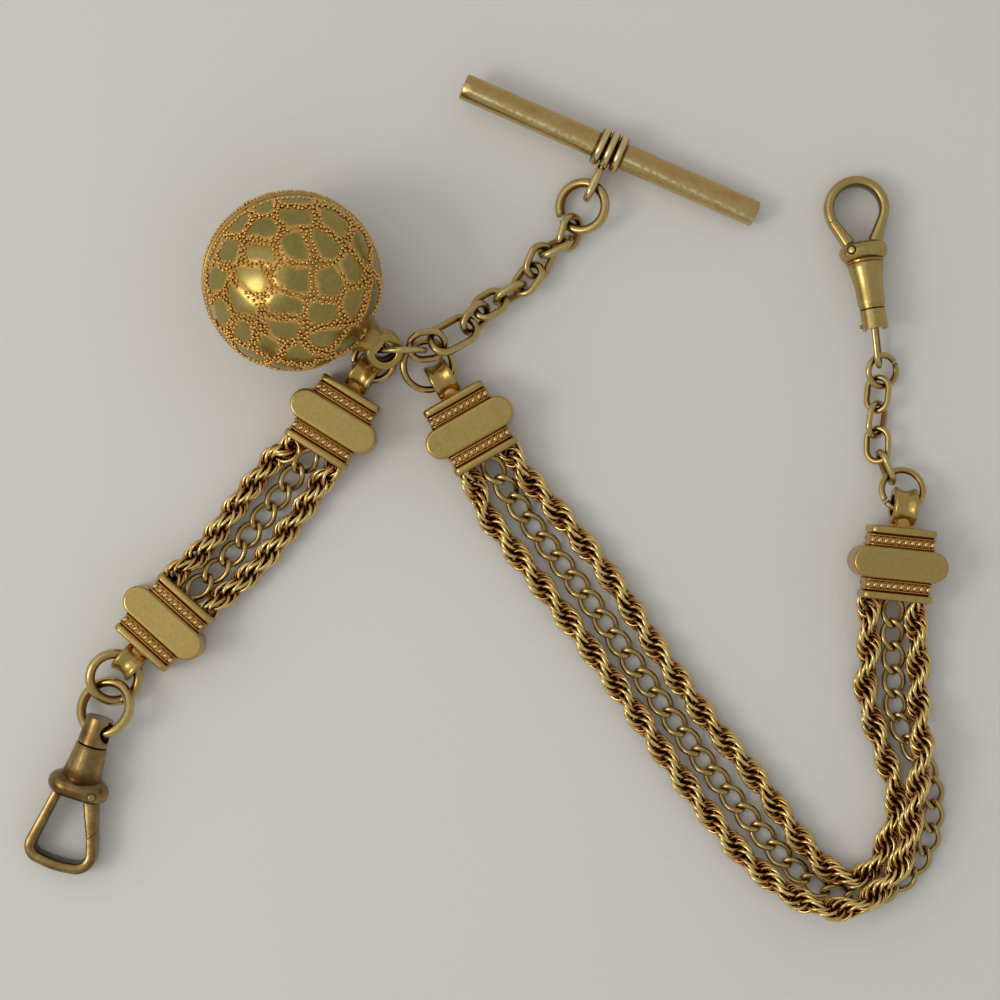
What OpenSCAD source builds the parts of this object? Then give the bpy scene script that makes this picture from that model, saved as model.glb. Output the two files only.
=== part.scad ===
// Lady's watch chain with a toggle bar, a hollow ball fob, two straps of three chain strands
// and a swivel clip at the end of each strap, laid out flat on a table.
// X and Y lie in the table top and Z points up. Lengths are millimetres and angles are degrees.

/* [Toggle bar] */
// Length of the toggle bar
bar_len = 31.7; // [28:0.1:34]
// Diameter of the toggle bar
bar_d = 2.64; // [2.4:0.02:2.8]
// Wire of the three rings wound round the bar's middle
collar_wire = 0.9; // [0.8:0.05:1]

/* [Ball fob] */
// Outer diameter of the ball
ball_d = 17.3; // [16.5:0.1:17.5]
// Thickness of the ball's stamped shell
ball_wall = 0.5; // [0.3:0.1:0.8]

/* [Strap slides] */
// Width of a slide's raised oval panel
panel_w = 9.5; // [9:0.1:10]
// Length of the panel along the strap
panel_l = 3.1; // [2.8:0.1:3.2]
// Thickness of a slide at its panel
panel_t = 4.1; // [3.9:0.1:4.3]
// Width of a slide at its rails
slide_w = 6.7; // [6.6:0.1:7]
// Length of a slide along the strap, without its bail
slide_l = 7.3; // [7.2:0.1:7.5]
// Length of a spool shaped bail
bail_l = 2.4; // [2.3:0.1:2.5]
// Outer diameter of a bail at its ends
bail_d = 3.7; // [3.5:0.1:3.8]
// Bore of a bail
bail_bore = 2.15; // [2.1:0.05:2.2]

/* [Strands] */
// Diameter of the rope strands
rope_d = 2.3; // [2.1:0.1:2.4]
// Outer length of a curb link
curb_len = 3.42; // [3.38:0.02:3.46]
// Outer width of a curb link
curb_w = 2.15; // [2.05:0.05:2.2]
// Wire of the curb links
curb_wire = 0.5; // [0.44:0.02:0.52]
// Distance from one curb link to the next
curb_pitch = 2.2; // [2.18:0.01:2.22]

/* [Bar chain] */
// Outer length of a bar chain link
oval_len = 4; // [3.9:0.05:4.1]
// Outer width of a bar chain link
oval_w = 3; // [2.9:0.05:3.1]
// Wire of the bar chain links
oval_wire = 0.75; // [0.65:0.05:0.75]

/* [Long end] */
// Outer length of a link of the long end
end_len = 3.95; // [3.9:0.05:4]
// Outer width of a link of the long end
end_w = 2.85; // [2.8:0.05:2.9]
// Wire of the long end's links
end_wire = 0.62; // [0.55:0.01:0.62]

/* [Long clip] */
// Width of the long clip's collar
long_collar_w = 4.8; // [4.6:0.1:5]
// Height of the long clip's collar
long_collar_h = 3.7; // [3.6:0.1:3.9]
// Outer width of the long clip's pear shaped hook
long_hook_w = 6.5; // [6.4:0.1:6.7]
// Thickness of the long clip's hook
long_hook_t = 2.1; // [1.9:0.1:2.2]

/* [Short clip] */
// Width of the short clip's collar
short_collar_w = 6.2; // [6:0.1:6.4]
// Height of the short clip's collar
short_collar_h = 4.3; // [4.1:0.1:4.5]
// Outer width of the short clip's broad hook
short_hook_w = 7.4; // [7.2:0.1:7.6]
// Thickness of the short clip's hook
short_hook_t = 2.3; // [2.1:0.1:2.4]

/* [Hidden] */
$fn = 48;

// Colours of the two metals
gold = [0.70, 0.60, 0.30];
deep_gold = [0.72, 0.52, 0.22];
bronze = [0.52, 0.39, 0.18];

// The plan below is measured from the middle of the table, and this shift puts the
// origin under the middle of the whole chain's box
mid_x = -1.48;
mid_y = 0.3;

// Clearance between solids that touch on the real chain
gap = 0.1;

// Vector helpers
function unit(v) = v / norm(v);
function heading(v) = atan2(v[1], v[0]);
function tilt(v) = atan2(v[2], norm([v[0], v[1]]));

// Smooth curve through a route's points: the point at t along the stretch from a to b,
// with the neighbours p and q before and after it
function smooth(p, a, b, q, t) = 0.5 * (2 * a + (b - p) * t
    + (2 * p - 5 * a + 4 * b - q) * t * t + (3 * a - p - 3 * b + q) * t * t * t);
smooth_steps = 8;
function route_point(r, i, t) = smooth(r[max(i - 1, 0)], r[i], r[i + 1], r[min(i + 2, len(r) - 1)], t);
function fine_route(r) = concat(
    [for (i = [0:len(r) - 2], k = [0:smooth_steps - 1]) route_point(r, i, k / smooth_steps)],
    [r[len(r) - 1]]);

// Running length at each point of a fine route, and the point at a length s along it
function run_lengths(r, i = 0, s = 0) = i == len(r) - 1 ? [s]
    : concat([s], run_lengths(r, i + 1, s + norm(r[i + 1] - r[i])));
function stretch_at(runs, s, i = 0) = i >= len(runs) - 2 || runs[i + 1] >= s ? i : stretch_at(runs, s, i + 1);
function point_at(r, runs, s) =
    let (i = stretch_at(runs, s))
    r[i] + (r[i + 1] - r[i]) * (s - runs[i]) / (runs[i + 1] - runs[i]);

// Places children at a point with the local X axis along a heading, raised by a tilt
// and rolled about itself
module lay(at, head = 0, up = 0, roll = 0) {
    translate(at) rotate([0, 0, head]) rotate([0, -up, 0]) rotate([roll, 0, 0]) children();
}

// Places a ring or a clip at a point, turned to a heading, with its local Y side raised by a slope
module lean(at, head, slope) {
    translate(at) rotate([0, 0, head]) rotate([slope, 0, 0]) children();
}

// Oval link of round wire, its long side along X and its flat side in the XY plane
module oval_link(length, width, wire) {
    bend = (width - wire) / 2;
    straight = length - width;
    for (side = [-1, 1]) {
        translate([side * straight / 2, 0, 0]) rotate([0, 0, side > 0 ? -90 : 90])
            rotate_extrude(angle = 180) translate([bend, 0]) circle(d = wire);
        translate([-straight / 2, side * bend, 0]) rotate([0, 90, 0]) cylinder(h = straight, d = wire);
    }
}

// Round ring of wire with its cut end open by a small angle
module jump_ring(mid_d, wire, cut_at, cut = 6) {
    rotate([0, 0, cut_at + cut / 2])
        rotate_extrude(angle = 360 - cut) translate([mid_d / 2, 0]) circle(d = wire);
}

// Rectangle with round corners, drawn from squares and circles so that its arcs stay true
module soft_rect(w, h, r) {
    square([w - 2 * r, h], center = true);
    square([w, h - 2 * r], center = true);
    for (x = [-1, 1], y = [-1, 1]) translate([x * (w / 2 - r), y * (h / 2 - r)]) circle(r);
}

// Tube swept along a route as one closed surface, with a ring of points every few millimetres
rope_sides = 8;
rope_step = 3.4;
module rope(route) {
    fine = fine_route(route);
    runs = run_lengths(fine);
    total = runs[len(runs) - 1];
    last = round(total / rope_step);
    ring = [for (i = [0:last])
        let (s = total * i / last,
             mid = point_at(fine, runs, s),
             along = i == 0 ? unit(route[1] - route[0])
                 : i == last ? unit(route[len(route) - 1] - route[len(route) - 2])
                 : unit(point_at(fine, runs, s + 0.4) - point_at(fine, runs, s - 0.4)),
             side = unit(cross([0, 0, 1], along)),
             up = cross(along, side))
        for (k = [0:rope_sides - 1])
            mid + rope_d / 2 * (cos(k * 360 / rope_sides) * side + sin(k * 360 / rope_sides) * up)];
    wall = [for (i = [0:last - 1], k = [0:rope_sides - 1])
        let (a = i * rope_sides + k, b = i * rope_sides + (k + 1) % rope_sides)
        each [[a, a + rope_sides, b], [b, a + rope_sides, b + rope_sides]]];
    caps = [[for (k = [0:rope_sides - 1]) k],
            [for (k = [rope_sides - 1:-1:0]) last * rope_sides + k]];
    polyhedron(ring, concat(wall, caps));
}

// Curb link: an oval of wire twisted about its long axis, so that its two ends cross
// its neighbours' ends
curb_twist = 48;
curb_rings = 14;
curb_sides = 6;
function curb_mid(t) =
    let (x = (curb_len - curb_wire) / 2 * cos(t),
         y = (curb_w - curb_wire) / 2 * sin(t),
         turn = curb_twist * cos(t))
    [x, y * cos(turn), y * sin(turn)];
module curb_link() {
    step = 360 / curb_rings;
    ring = [for (i = [0:curb_rings - 1])
        let (mid = curb_mid(i * step),
             along = unit(curb_mid((i + 0.5) * step) - curb_mid((i - 0.5) * step)),
             out = unit(mid - along * (mid * along)),
             up = cross(along, out))
        for (k = [0:curb_sides - 1])
            mid + curb_wire / 2 * (cos(k * 360 / curb_sides) * out + sin(k * 360 / curb_sides) * up)];
    wall = [for (i = [0:curb_rings - 1], k = [0:curb_sides - 1])
        let (a = i * curb_sides + k,
             b = i * curb_sides + (k + 1) % curb_sides,
             c = ((i + 1) % curb_rings) * curb_sides + k,
             d = ((i + 1) % curb_rings) * curb_sides + (k + 1) % curb_sides)
        each [[a, c, b], [b, c, d]]];
    polyhedron(ring, wall);
}

// Curb strand: links at even steps along a route, each laid along its own stretch of it
module curb_strand(route) {
    fine = fine_route(route);
    runs = run_lengths(fine);
    total = runs[len(runs) - 1];
    count = floor((total - curb_len + curb_pitch) / curb_pitch);
    start = (total - count * curb_pitch) / 2;
    for (i = [0:count - 1]) {
        a = point_at(fine, runs, start + i * curb_pitch);
        b = point_at(fine, runs, start + (i + 1) * curb_pitch);
        lay((a + b) / 2, heading(b - a), tilt(b - a)) curb_link();
    }
}

// Spool shaped bail: a short tube along X with a hollowed waist
bail_waist_depth = 0.3;
module bail_solid(size = bail_d) {
    waist_r = ((bail_l / 2) ^ 2 + bail_waist_depth ^ 2) / (2 * bail_waist_depth);
    rotate([0, 90, 0]) rotate_extrude() difference() {
        translate([0, -bail_l / 2]) square([size / 2, bail_l]);
        translate([size / 2 - bail_waist_depth + waist_r, 0]) circle(waist_r, $fn = 96);
    }
}
module bail_hole() {
    rotate([0, 90, 0]) cylinder(h = bail_l + 2, d = bail_bore, center = true);
}

// Strap slide: the strap leaves at -Y and the bail is at +Y
bead_d = 0.55;
module slide_band(w, t, y, length, r) {
    translate([0, y, 0]) rotate([90, 0, 0]) linear_extrude(length, center = true) soft_rect(w, t, r);
}
module strap_slide(bail_reach, bail_size = bail_d) {
    rail_l = 0.75;
    rail_y = (slide_l - rail_l) / 2;
    row_y = (panel_l / 2 + slide_l / 2 - rail_l) / 2;
    difference() {
        union() {
            slide_band(slide_w - 0.3, panel_t - 0.9, 0, slide_l - 0.4, 0.7);
            linear_extrude(panel_t, center = true) {
                square([panel_w - panel_l, panel_l], center = true);
                for (x = [-1, 1]) translate([x * (panel_w - panel_l) / 2, 0]) circle(d = panel_l);
            }
            for (y = [-1, 1]) {
                slide_band(slide_w + (y < 0 ? 0.4 : 0), panel_t - 0.35, y * rail_y, rail_l, 0.8);
                slide_band(slide_w + 0.1, panel_t - 0.5, y * row_y, bead_d, 0.75);
                for (edge = [-1, 1])
                    slide_band(slide_w - 0.05, panel_t - 0.65, y * row_y + edge * 0.47, 0.16, 0.7);
            }
            translate([0, bail_reach, 0]) bail_solid(bail_size);
            translate([0, slide_l / 2 + 0.15, 0]) cube([bail_l - 0.5, 1, bail_d - 1.5], center = true);
        }
        translate([0, bail_reach, 0]) bail_hole();
    }
}

// Places of the four slides: position, heading of the panel's long side, and roll
slide_z = panel_t / 2;
long_near_at = [-3, 7.15, slide_z];
long_near_head = 29.5;
long_far_at = [39.45, -6.35, slide_z + 0.36];
long_far_head = -6;
long_far_roll = 4;
short_near_at = [-16.5, 7.8, slide_z];
short_near_head = -32;
short_far_at = [-33.3, -12.15, slide_z];
short_far_head = 138;
module place_slide(at, head, roll = 0) {
    translate(at) rotate([0, 0, head]) rotate([0, roll, 0]) children();
}

// Point beside a slide, in the slide's own directions: x across the strap, y towards the bail
function by_slide(at, head, x, y, z) = [
    at[0] + x * cos(head) - y * sin(head), at[1] + x * sin(head) + y * cos(head), z];
strand_y = -slide_l / 2 - gap - 0.02;
strand_z = 2.1;
strand_x = 2.35;

// Routes of the long strap's strands, from the near slide round the bend to the far slide
rope_z = rope_d / 2 + 0.05;
over_z = 3.3;
long_outer_route = [
    by_slide(long_near_at, long_near_head, -strand_x, strand_y, strand_z),
    by_slide(long_near_at, long_near_head, -strand_x, strand_y - 1.2, strand_z),
    [-1.4, -1.3, rope_z], [0.7, -4.1, rope_z], [3.4, -7.6, rope_z], [8, -13.5, rope_z],
    [12.3, -19.4, rope_z], [17.3, -26.6, rope_z], [22.9, -33.9, rope_z], [26, -37, 1.6],
    [29.2, -39.3, 2.6], [32.3, -40.4, 3.1], [35.5, -40.1, over_z], [38.2, -38, 3.1],
    [39.9, -35.3, 3.2], [40.7, -31.8, 3.2], [41.2, -28.8, 3.2], [41.8, -25.7, over_z],
    [41.7, -22.4, 2.5], [41.6, -19.2, 1.5], [41.6, -15.8, 1.5],
    by_slide(long_far_at, long_far_head, strand_x, strand_y - 1.2, strand_z),
    by_slide(long_far_at, long_far_head, strand_x, strand_y, strand_z)];
long_inner_route = [
    by_slide(long_near_at, long_near_head, strand_x, strand_y, strand_z),
    by_slide(long_near_at, long_near_head, strand_x, strand_y - 1.2, strand_z),
    [3, 1.9, 1.5], [6.6, -2.3, rope_z], [10.8, -7.5, rope_z], [15.2, -14.2, rope_z],
    [19.9, -20.9, rope_z], [25.2, -27.4, rope_z], [29.4, -33.2, rope_z], [31.2, -35.4, rope_z],
    [33, -37, rope_z], [35, -37.7, rope_z], [36.8, -37, rope_z], [37.9, -35.4, rope_z],
    [39, -32.8, rope_z], [39.5, -30, rope_z], [38.7, -26.6, rope_z], [37.4, -22.8, rope_z],
    [36.4, -19, rope_z], [36.7, -15.6, 1.5],
    by_slide(long_far_at, long_far_head, -strand_x, strand_y - 1.2, strand_z),
    by_slide(long_far_at, long_far_head, -strand_x, strand_y, strand_z)];
curb_z = 0.75;
long_curb_route = [
    by_slide(long_near_at, long_near_head, 0, strand_y, strand_z),
    by_slide(long_near_at, long_near_head, 0, strand_y - 1.2, strand_z),
    [0.7, 1.2, 1.6], [1.9, -0.7, curb_z], [4.4, -4.1, curb_z], [8.7, -9.7, curb_z],
    [12.8, -15.6, curb_z], [17.1, -21.7, curb_z], [21.5, -27.6, curb_z], [26.3, -33.5, curb_z],
    [29.4, -36.9, curb_z], [32.6, -39.2, curb_z], [35.9, -39.8, curb_z], [39.2, -38.6, curb_z],
    [41.6, -36.4, curb_z], [42.9, -33.4, curb_z], [43.2, -30, curb_z], [42.7, -27, curb_z],
    [41.1, -24.6, curb_z], [39.7, -22.2, curb_z], [39.3, -19, curb_z], [39.2, -15.6, 1],
    [39.05, -13, 1.6],
    by_slide(long_far_at, long_far_head, 0, strand_y - 1.2, strand_z),
    by_slide(long_far_at, long_far_head, 0, strand_y, strand_z)];

// Routes of the short strap's strands, from its near slide to its far slide
short_left_route = [
    by_slide(short_near_at, short_near_head, -strand_x, strand_y, strand_z),
    by_slide(short_near_at, short_near_head, -strand_x, strand_y - 1.2, strand_z),
    [-21.8, 5, 1.6], [-23.6, 2.7, rope_z], [-25.6, 0.3, rope_z], [-28, -3, rope_z],
    [-30.4, -5.8, 1.6],
    by_slide(short_far_at, short_far_head, strand_x, strand_y - 1.2, strand_z),
    by_slide(short_far_at, short_far_head, strand_x, strand_y, strand_z)];
short_right_route = [
    by_slide(short_near_at, short_near_head, strand_x, strand_y, strand_z),
    by_slide(short_near_at, short_near_head, strand_x, strand_y - 1.2, strand_z),
    [-17.9, 1.7, 1.6], [-19.6, -0.9, rope_z], [-21.9, -3.9, rope_z], [-24.5, -6.9, rope_z],
    [-27.2, -9.3, 1.6],
    by_slide(short_far_at, short_far_head, -strand_x, strand_y - 1.2, strand_z),
    by_slide(short_far_at, short_far_head, -strand_x, strand_y, strand_z)];
short_curb_route = [
    by_slide(short_near_at, short_near_head, 0, strand_y, strand_z),
    by_slide(short_near_at, short_near_head, 0, strand_y - 1.2, strand_z),
    [-20, 3.2, 1.5], [-21.6, 0.9, 0.9], [-23.9, -2, curb_z], [-26.2, -4.9, 0.9], [-28.6, -7.4, 1.5],
    by_slide(short_far_at, short_far_head, 0, strand_y - 1.2, strand_z),
    by_slide(short_far_at, short_far_head, 0, strand_y, strand_z)];

// Toggle bar, lying on its collar and on its right end, and the eye soldered to the collar
bar_at = [10.9, 34.72, collar_wire / 2 + bar_d / 2 + 0.28];
bar_head = -23.4;
collar_mid_d = bar_d + 0.46;
eye_at = [9.35, 31.5, 1.9];
eye_head = 245;
module t_bar() {
    color(gold) {
        lay(bar_at, bar_head, -asin((bar_at[2] - bar_d / 2) / (bar_len / 2))) {
            rotate([0, 90, 0]) cylinder(h = bar_len, d = bar_d, center = true);
            for (i = [-1:1]) translate([i * (collar_wire + 0.1), 0, 0]) rotate([0, 90, 0])
                rotate_extrude() translate([collar_mid_d / 2, 0]) circle(d = collar_wire);
        }
        lay(eye_at, eye_head, 0, 90) oval_link(4.2, 3, 0.8);
    }
}
module t_bar_ring() {
    color(gold) lean([8.2, 29.2, 1.58], -98, 20) jump_ring(4.75, 0.95, 305, 14);
}

// Bar chain, link by link from the bar: x, y, z, heading, tilt, roll
bar_links = [
    [6.95, 26.65, 1.25, 253, -3, -45],
    [5.5, 25.2, 1.45, 207, 0, 67],
    [3.9, 23.75, 1.5, 246, -1, -24],
    [2.8, 22, 1.55, 234, 1, 32],
    [1.05, 20.55, 1.55, 209, 2, -69],
    [-1, 19.45, 1.85, 211, 7, 16],
    [-2.45, 18.05, 2.25, 228, 15, -44]];
module bar_link(i) {
    b = bar_links[i];
    color(gold) lay([b[0], b[1], b[2]], b[3], b[4], b[5]) oval_link(oval_len, oval_w, oval_wire);
}
module bar_link_8() {
    color(gold) lay([-4.6, 16.35, 3.25], 210, 19, 18) oval_link(5.7, 3.5, 0.75);
}

// Junction, where the bar chain, the ball and both straps meet
module junction_link() {
    color(gold) lay([-7.2, 15.25, 3.95], 188, 10, -23) oval_link(4.25, 3.5, 0.68);
}
module ball_link() {
    color(gold) lay([-9.7, 14.8, 3.7], 270, 88, 0) oval_link(6.1, 5.2, 0.62);
}
module long_strap_ring() {
    color(gold) lean([-7.15, 13.35, 2.4], 30, 13) jump_ring(4.9, 0.7, 300);
}
module short_strap_ring() {
    color(gold) lean([-12.5, 13.9, 2.05], -10, 12) jump_ring(4, 0.7, 200);
}

// Ball fob: a hollow ball of two stamped halves soldered at a seam rim, with a tapered neck
// and a spool shaped bail. Its own X axis runs out along the neck.
ball_at = [-20.2, 21.3, ball_d / 2];
ball_head = -36.3;
ball_dip = -20;
ball_roll = 8;
ball_bail_x = ball_d / 2 + 2.9;
module ball_fob() {
    color(deep_gold) lay(ball_at, ball_head, ball_dip, ball_roll) difference() {
        union() {
            sphere(d = ball_d, $fn = 96);
            rotate_extrude($fn = 96) translate([ball_d / 2 - 0.05, 0]) circle(0.25);
            rotate([0, 90, 0]) cylinder(h = ball_bail_x, r1 = 2.6, r2 = 1.25);
            translate([ball_bail_x, 0, 0]) rotate([0, 90, 0]) bail_solid();
        }
        sphere(d = ball_d - 2 * ball_wall, $fn = 96);
        rotate([0, 90, 0]) cylinder(h = ball_bail_x, d = 0.6);
        translate([ball_bail_x, 0, 0]) rotate([0, 90, 0]) bail_hole();
    }
}

// Long end: the far slide's ring, four links, a jump ring and the clip's bail
module long_end_ring() {
    color(gold) lean([39.95, 1, 2.1], 174, 16) jump_ring(4.1, 0.65, 40);
}

// Long end, link by link from the clip: x, y, z, heading, tilt, roll
end_links = [
    [37.6, 10.55, 1.35, 264, 0, 30],
    [37.5, 8, 1.3, 262, 0, -44],
    [37.6, 5.5, 1.2, 269, 0, 26],
    [38.4, 3.25, 1.45, 293, -4, 82]];
module end_link(i) {
    e = end_links[i];
    color(gold) lay([e[0], e[1], e[2]], e[3], e[4], e[5]) oval_link(end_len, end_w, end_wire);
}
module end_jump_ring() {
    color(gold) lean([38.05, 12.85, 1.45], 75, 23) jump_ring(3.1, 0.62, 317, 10);
}

// Swivel clips. In a clip's own frame the hook points to -Y, the swivel head is at +Y,
// the gate is on the +X side and the origin is the middle of the collar.
long_clip_at = [36.1, 24.65, long_collar_h / 2];
long_clip_head_deg = 188.3;
long_clip_slope = 6;
short_clip_at = [-41.85, -28.45, short_collar_h / 2];
short_clip_head_deg = -18.5;
short_clip_slope = 6.5;
rivet_d = 0.8;
rivet_gap = 0.02;
fit_gap = 0.05;
hole_h = 6;

// Pin across a clip at a pivot point, also used to cut its hole
module pivot_pin(at, h, d) {
    translate([at[0], at[1], 0]) cylinder(h = h, d = d, center = true);
}
shank_d = 1.1;
button_d = 1.6;

// Round bar along Y from y0 to y1
module post(y0, y1, d0, d1) {
    translate([0, y0, 0]) rotate([-90, 0, 0]) cylinder(h = y1 - y0, d1 = d0, d2 = d1);
}

// Collar: an oval plate with a round rim, wide along X and lower along Z
module collar(w, h, thick) {
    for (side = [-1, 1]) translate([side * (w - h) / 2, 0, 0]) rotate([-90, 0, 0]) rotate_extrude() {
        intersection() {
            translate([h / 2 - thick / 2, 0]) circle(d = thick);
            translate([0, -thick]) square([h, 2 * thick]);
        }
        translate([0, -thick / 2]) square([max(h - thick, 0.2) / 2, thick]);
    }
    rotate([90, 0, 90]) linear_extrude(w - h, center = true) {
        square([thick, h - thick], center = true);
        for (z = [-1, 1]) translate([0, z * (h - thick) / 2]) circle(d = thick);
    }
}

// Shank with a button that turns in the clip's body
module swivel_shank(y0) {
    post(y0 - 1.9, y0 + 0.4, shank_d, shank_d);
    post(y0 - 2.3, y0 - 1.8, button_d, button_d);
}
module swivel_socket(y0) {
    post(y0 - 1.6, y0 + 1, shank_d + 2 * fit_gap, shank_d + 2 * fit_gap);
    post(y0 - 2.4, y0 - 1.6, button_d + 2 * fit_gap, button_d + 2 * fit_gap);
}

// Flat shape from straight sides that touch two circles of a pear, wide end at the origin
module pear(r_wide, r_narrow, reach) {
    lean = asin((r_wide - r_narrow) / reach);
    circle(r_wide, $fn = 72);
    translate([0, -reach]) circle(r_narrow);
    polygon([[r_wide * cos(lean), -r_wide * sin(lean)],
        [r_narrow * cos(lean), -reach - r_narrow * sin(lean)],
        [-r_narrow * cos(lean), -reach - r_narrow * sin(lean)],
        [-r_wide * cos(lean), -r_wide * sin(lean)]]);
}

// Long clip: pear shaped hook
long_wide_at = 4.4;
long_band = 1;
long_head_y = 5.95;
long_pivot = [1.35, -0.1];
long_rivet_l = 3.4;
module long_hook_outline() {
    translate([0, -long_wide_at]) rotate(180) difference() {
        pear(long_hook_w / 2, 1.9, long_wide_at - 1);
        pear(long_hook_w / 2 - long_band, 0.75, long_wide_at - 1.5);
    }
}

// Room in the hook for the gate: right through below the collar, and a slot inside the collar
long_cut = [[0.3, -1.2], [2.05, -3.9], [2.5, -4], [3.6, -2.2], [3.6, -1.02], [0.3, -1.02]];
long_slot = [[0.3, -2], [0.3, 0.9], [3.6, 0.9], [3.6, -2]];
long_slot_t = 1.7;
gate_root_t = 1.5;
gate_tip_t = 1.9;
module long_clip_hook() {
    color(gold) lean(long_clip_at, long_clip_head_deg, long_clip_slope) difference() {
        union() {
            linear_extrude(long_hook_t, center = true) long_hook_outline();
            collar(long_collar_w, long_collar_h, 2);
            post(0.6, 2.9, 3.6, 2.9);
            post(2.9, long_head_y - gap, 2.9, 2.5);
        }
        linear_extrude(long_hook_t + 1, center = true) polygon(long_cut);
        linear_extrude(long_slot_t, center = true) polygon(long_slot);
        pivot_pin(long_pivot, hole_h, rivet_d + rivet_gap * 2);
        swivel_socket(long_head_y);
    }
}
module long_clip_gate() {
    color(gold) lean(long_clip_at, long_clip_head_deg, long_clip_slope) difference() {
        union() {
            linear_extrude(gate_root_t, center = true) {
                translate(long_pivot) circle(0.8);
                polygon([[0.75, -0.4], [2.1, -0.4], [2.35, -2], [1.25, -2]]);
            }
            linear_extrude(gate_tip_t, center = true)
                polygon([[1.05, -1.5], [2.3, -1.2], [2.75, -2], [2.3, -3.75], [2.05, -3.7]]);
        }
        pivot_pin(long_pivot, hole_h, rivet_d + 2 * fit_gap);
    }
}
module long_clip_rivet() {
    color(deep_gold) lean(long_clip_at, long_clip_head_deg, long_clip_slope)
        pivot_pin(long_pivot, long_rivet_l, rivet_d);
}

// Long clip's head: a tube with a cross pin for the bail, open below so that the bail can hang
module long_head() {
    end = long_head_y + 1.9;
    difference() {
        post(long_head_y, end, 2.55, 2.55);
        post(long_head_y + 0.4, end + 1, 2.05, 2.05);
        translate([0, end, -1.1]) cube([1.6, 3, 2.2], center = true);
    }
    translate([-1.1, end - 0.45, -0.2]) rotate([0, 90, 0]) cylinder(h = 2.6, d = 0.42);
    swivel_shank(long_head_y);
}
module long_clip_head() {
    color(gold) lean(long_clip_at, long_clip_head_deg, long_clip_slope) long_head();
}
module long_clip_bail() {
    color(gold) lay([37.4, 15.65, 2.05], 277, -5, -77) oval_link(5.3, 2.75, 0.58);
}

// Short end: two heavy jump rings
module short_end_ring_1() {
    color(bronze) lean([-38.3, -17.6, 2.1], 43, 15) jump_ring(4.8, 1, 250);
}
module short_end_ring_2() {
    color(bronze) lean([-39.15, -20.6, 2.3], 225, 27) jump_ring(5.3, 1, 20);
}

// Short clip: broad hook with round corners
short_head_y = 4.6;
short_band = 1;
short_pivot = [1.75, -0.2];
short_rivet_l = 4;
short_left = [2.15 - short_hook_w / 2, -6.7, 1.8];
short_right = [short_hook_w / 2 - 1.9, -6.35, 2.15];

// Tangent point of a line from p to a corner's circle, on its right (-1) or left (1) hand side
function touch(p, c, r, side) =
    let (base = atan2(p[1] - c[1], p[0] - c[0]), lean = acos(r / norm([p[0] - c[0], p[1] - c[1]])))
    [c[0] + r * cos(base + side * lean), c[1] + r * sin(base + side * lean)];
module broad_loop(top_left, top_right, shrink) {
    r_left = short_left[2] - shrink;
    r_right = short_right[2] - shrink;
    translate([short_left[0], short_left[1]]) circle(r_left);
    translate([short_right[0], short_right[1]]) circle(r_right);
    polygon([top_left, top_right, touch(top_right, short_right, r_right, -1),
        [short_right[0], short_right[1]], [short_right[0], short_right[1] - r_right],
        [short_left[0], short_left[1] - r_left], [short_left[0], short_left[1]],
        touch(top_left, short_left, r_left, 1)]);
}
short_cut = [[0.6, -1.16], [1.2, -4], [2.2, -5.1], [3.6, -3.45], [3.6, -1.16]];
short_slot = [[0.6, -2], [0.6, 0.9], [4.2, 0.9], [4.2, -2]];
short_slot_t = 1.9;
short_root_t = 1.7;
short_tip_t = 2.1;
module short_clip_hook() {
    color(bronze) lean(short_clip_at, short_clip_head_deg, short_clip_slope) difference() {
        union() {
            linear_extrude(short_hook_t, center = true) difference() {
                broad_loop([-2.2, -0.5], [2.35, -0.5], 0);
                broad_loop([-1.3, -0.9], [1.2, -0.9], short_band);
            }
            collar(short_collar_w, short_collar_h, 2.3);
            post(0.8, short_head_y - gap, 4, 3.1);
        }
        linear_extrude(short_hook_t + 1, center = true) polygon(short_cut);
        linear_extrude(short_slot_t, center = true) polygon(short_slot);
        pivot_pin(short_pivot, hole_h, rivet_d + rivet_gap * 2);
        swivel_socket(short_head_y);
    }
}
module short_clip_gate() {
    color(bronze) lean(short_clip_at, short_clip_head_deg, short_clip_slope) difference() {
        union() {
            linear_extrude(short_root_t, center = true) {
                translate(short_pivot) circle(0.85);
                polygon([[1, -0.4], [2.5, -0.4], [2.6, -2.2], [1.35, -2.2]]);
            }
            linear_extrude(short_tip_t, center = true)
                polygon([[1.2, -1.6], [2.35, -1.3], [3.1, -3.85], [2.4, -4.68]]);
        }
        pivot_pin(short_pivot, hole_h, rivet_d + 2 * fit_gap);
    }
}
module short_clip_rivet() {
    color(bronze) lean(short_clip_at, short_clip_head_deg, short_clip_slope)
        pivot_pin(short_pivot, short_rivet_l, rivet_d);
}

// Short clip's head: a plug with a wide hole across it for the ring
module short_head() {
    difference() {
        post(short_head_y, short_head_y + 2.7, 3, 2.7);
        translate([0, short_head_y + 1.5, 0]) rotate([0, 68, 0]) cylinder(h = 5, d = 2, center = true);
    }
    swivel_shank(short_head_y);
}
module short_clip_head() {
    color(bronze) lean(short_clip_at, short_clip_head_deg, short_clip_slope) short_head();
}

// The four slides, each with its bail's reach and size
module long_slide_near() {
    color(deep_gold) place_slide(long_near_at, long_near_head) strap_slide(5.6);
}
module long_slide_far() {
    color(deep_gold) place_slide(long_far_at, long_far_head, long_far_roll) strap_slide(5.75);
}
module short_slide_near() {
    color(deep_gold) place_slide(short_near_at, short_near_head) strap_slide(5.6);
}
module short_slide_far() {
    color(deep_gold) place_slide(short_far_at, short_far_head) strap_slide(5.2, 3.3);
}

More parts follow.
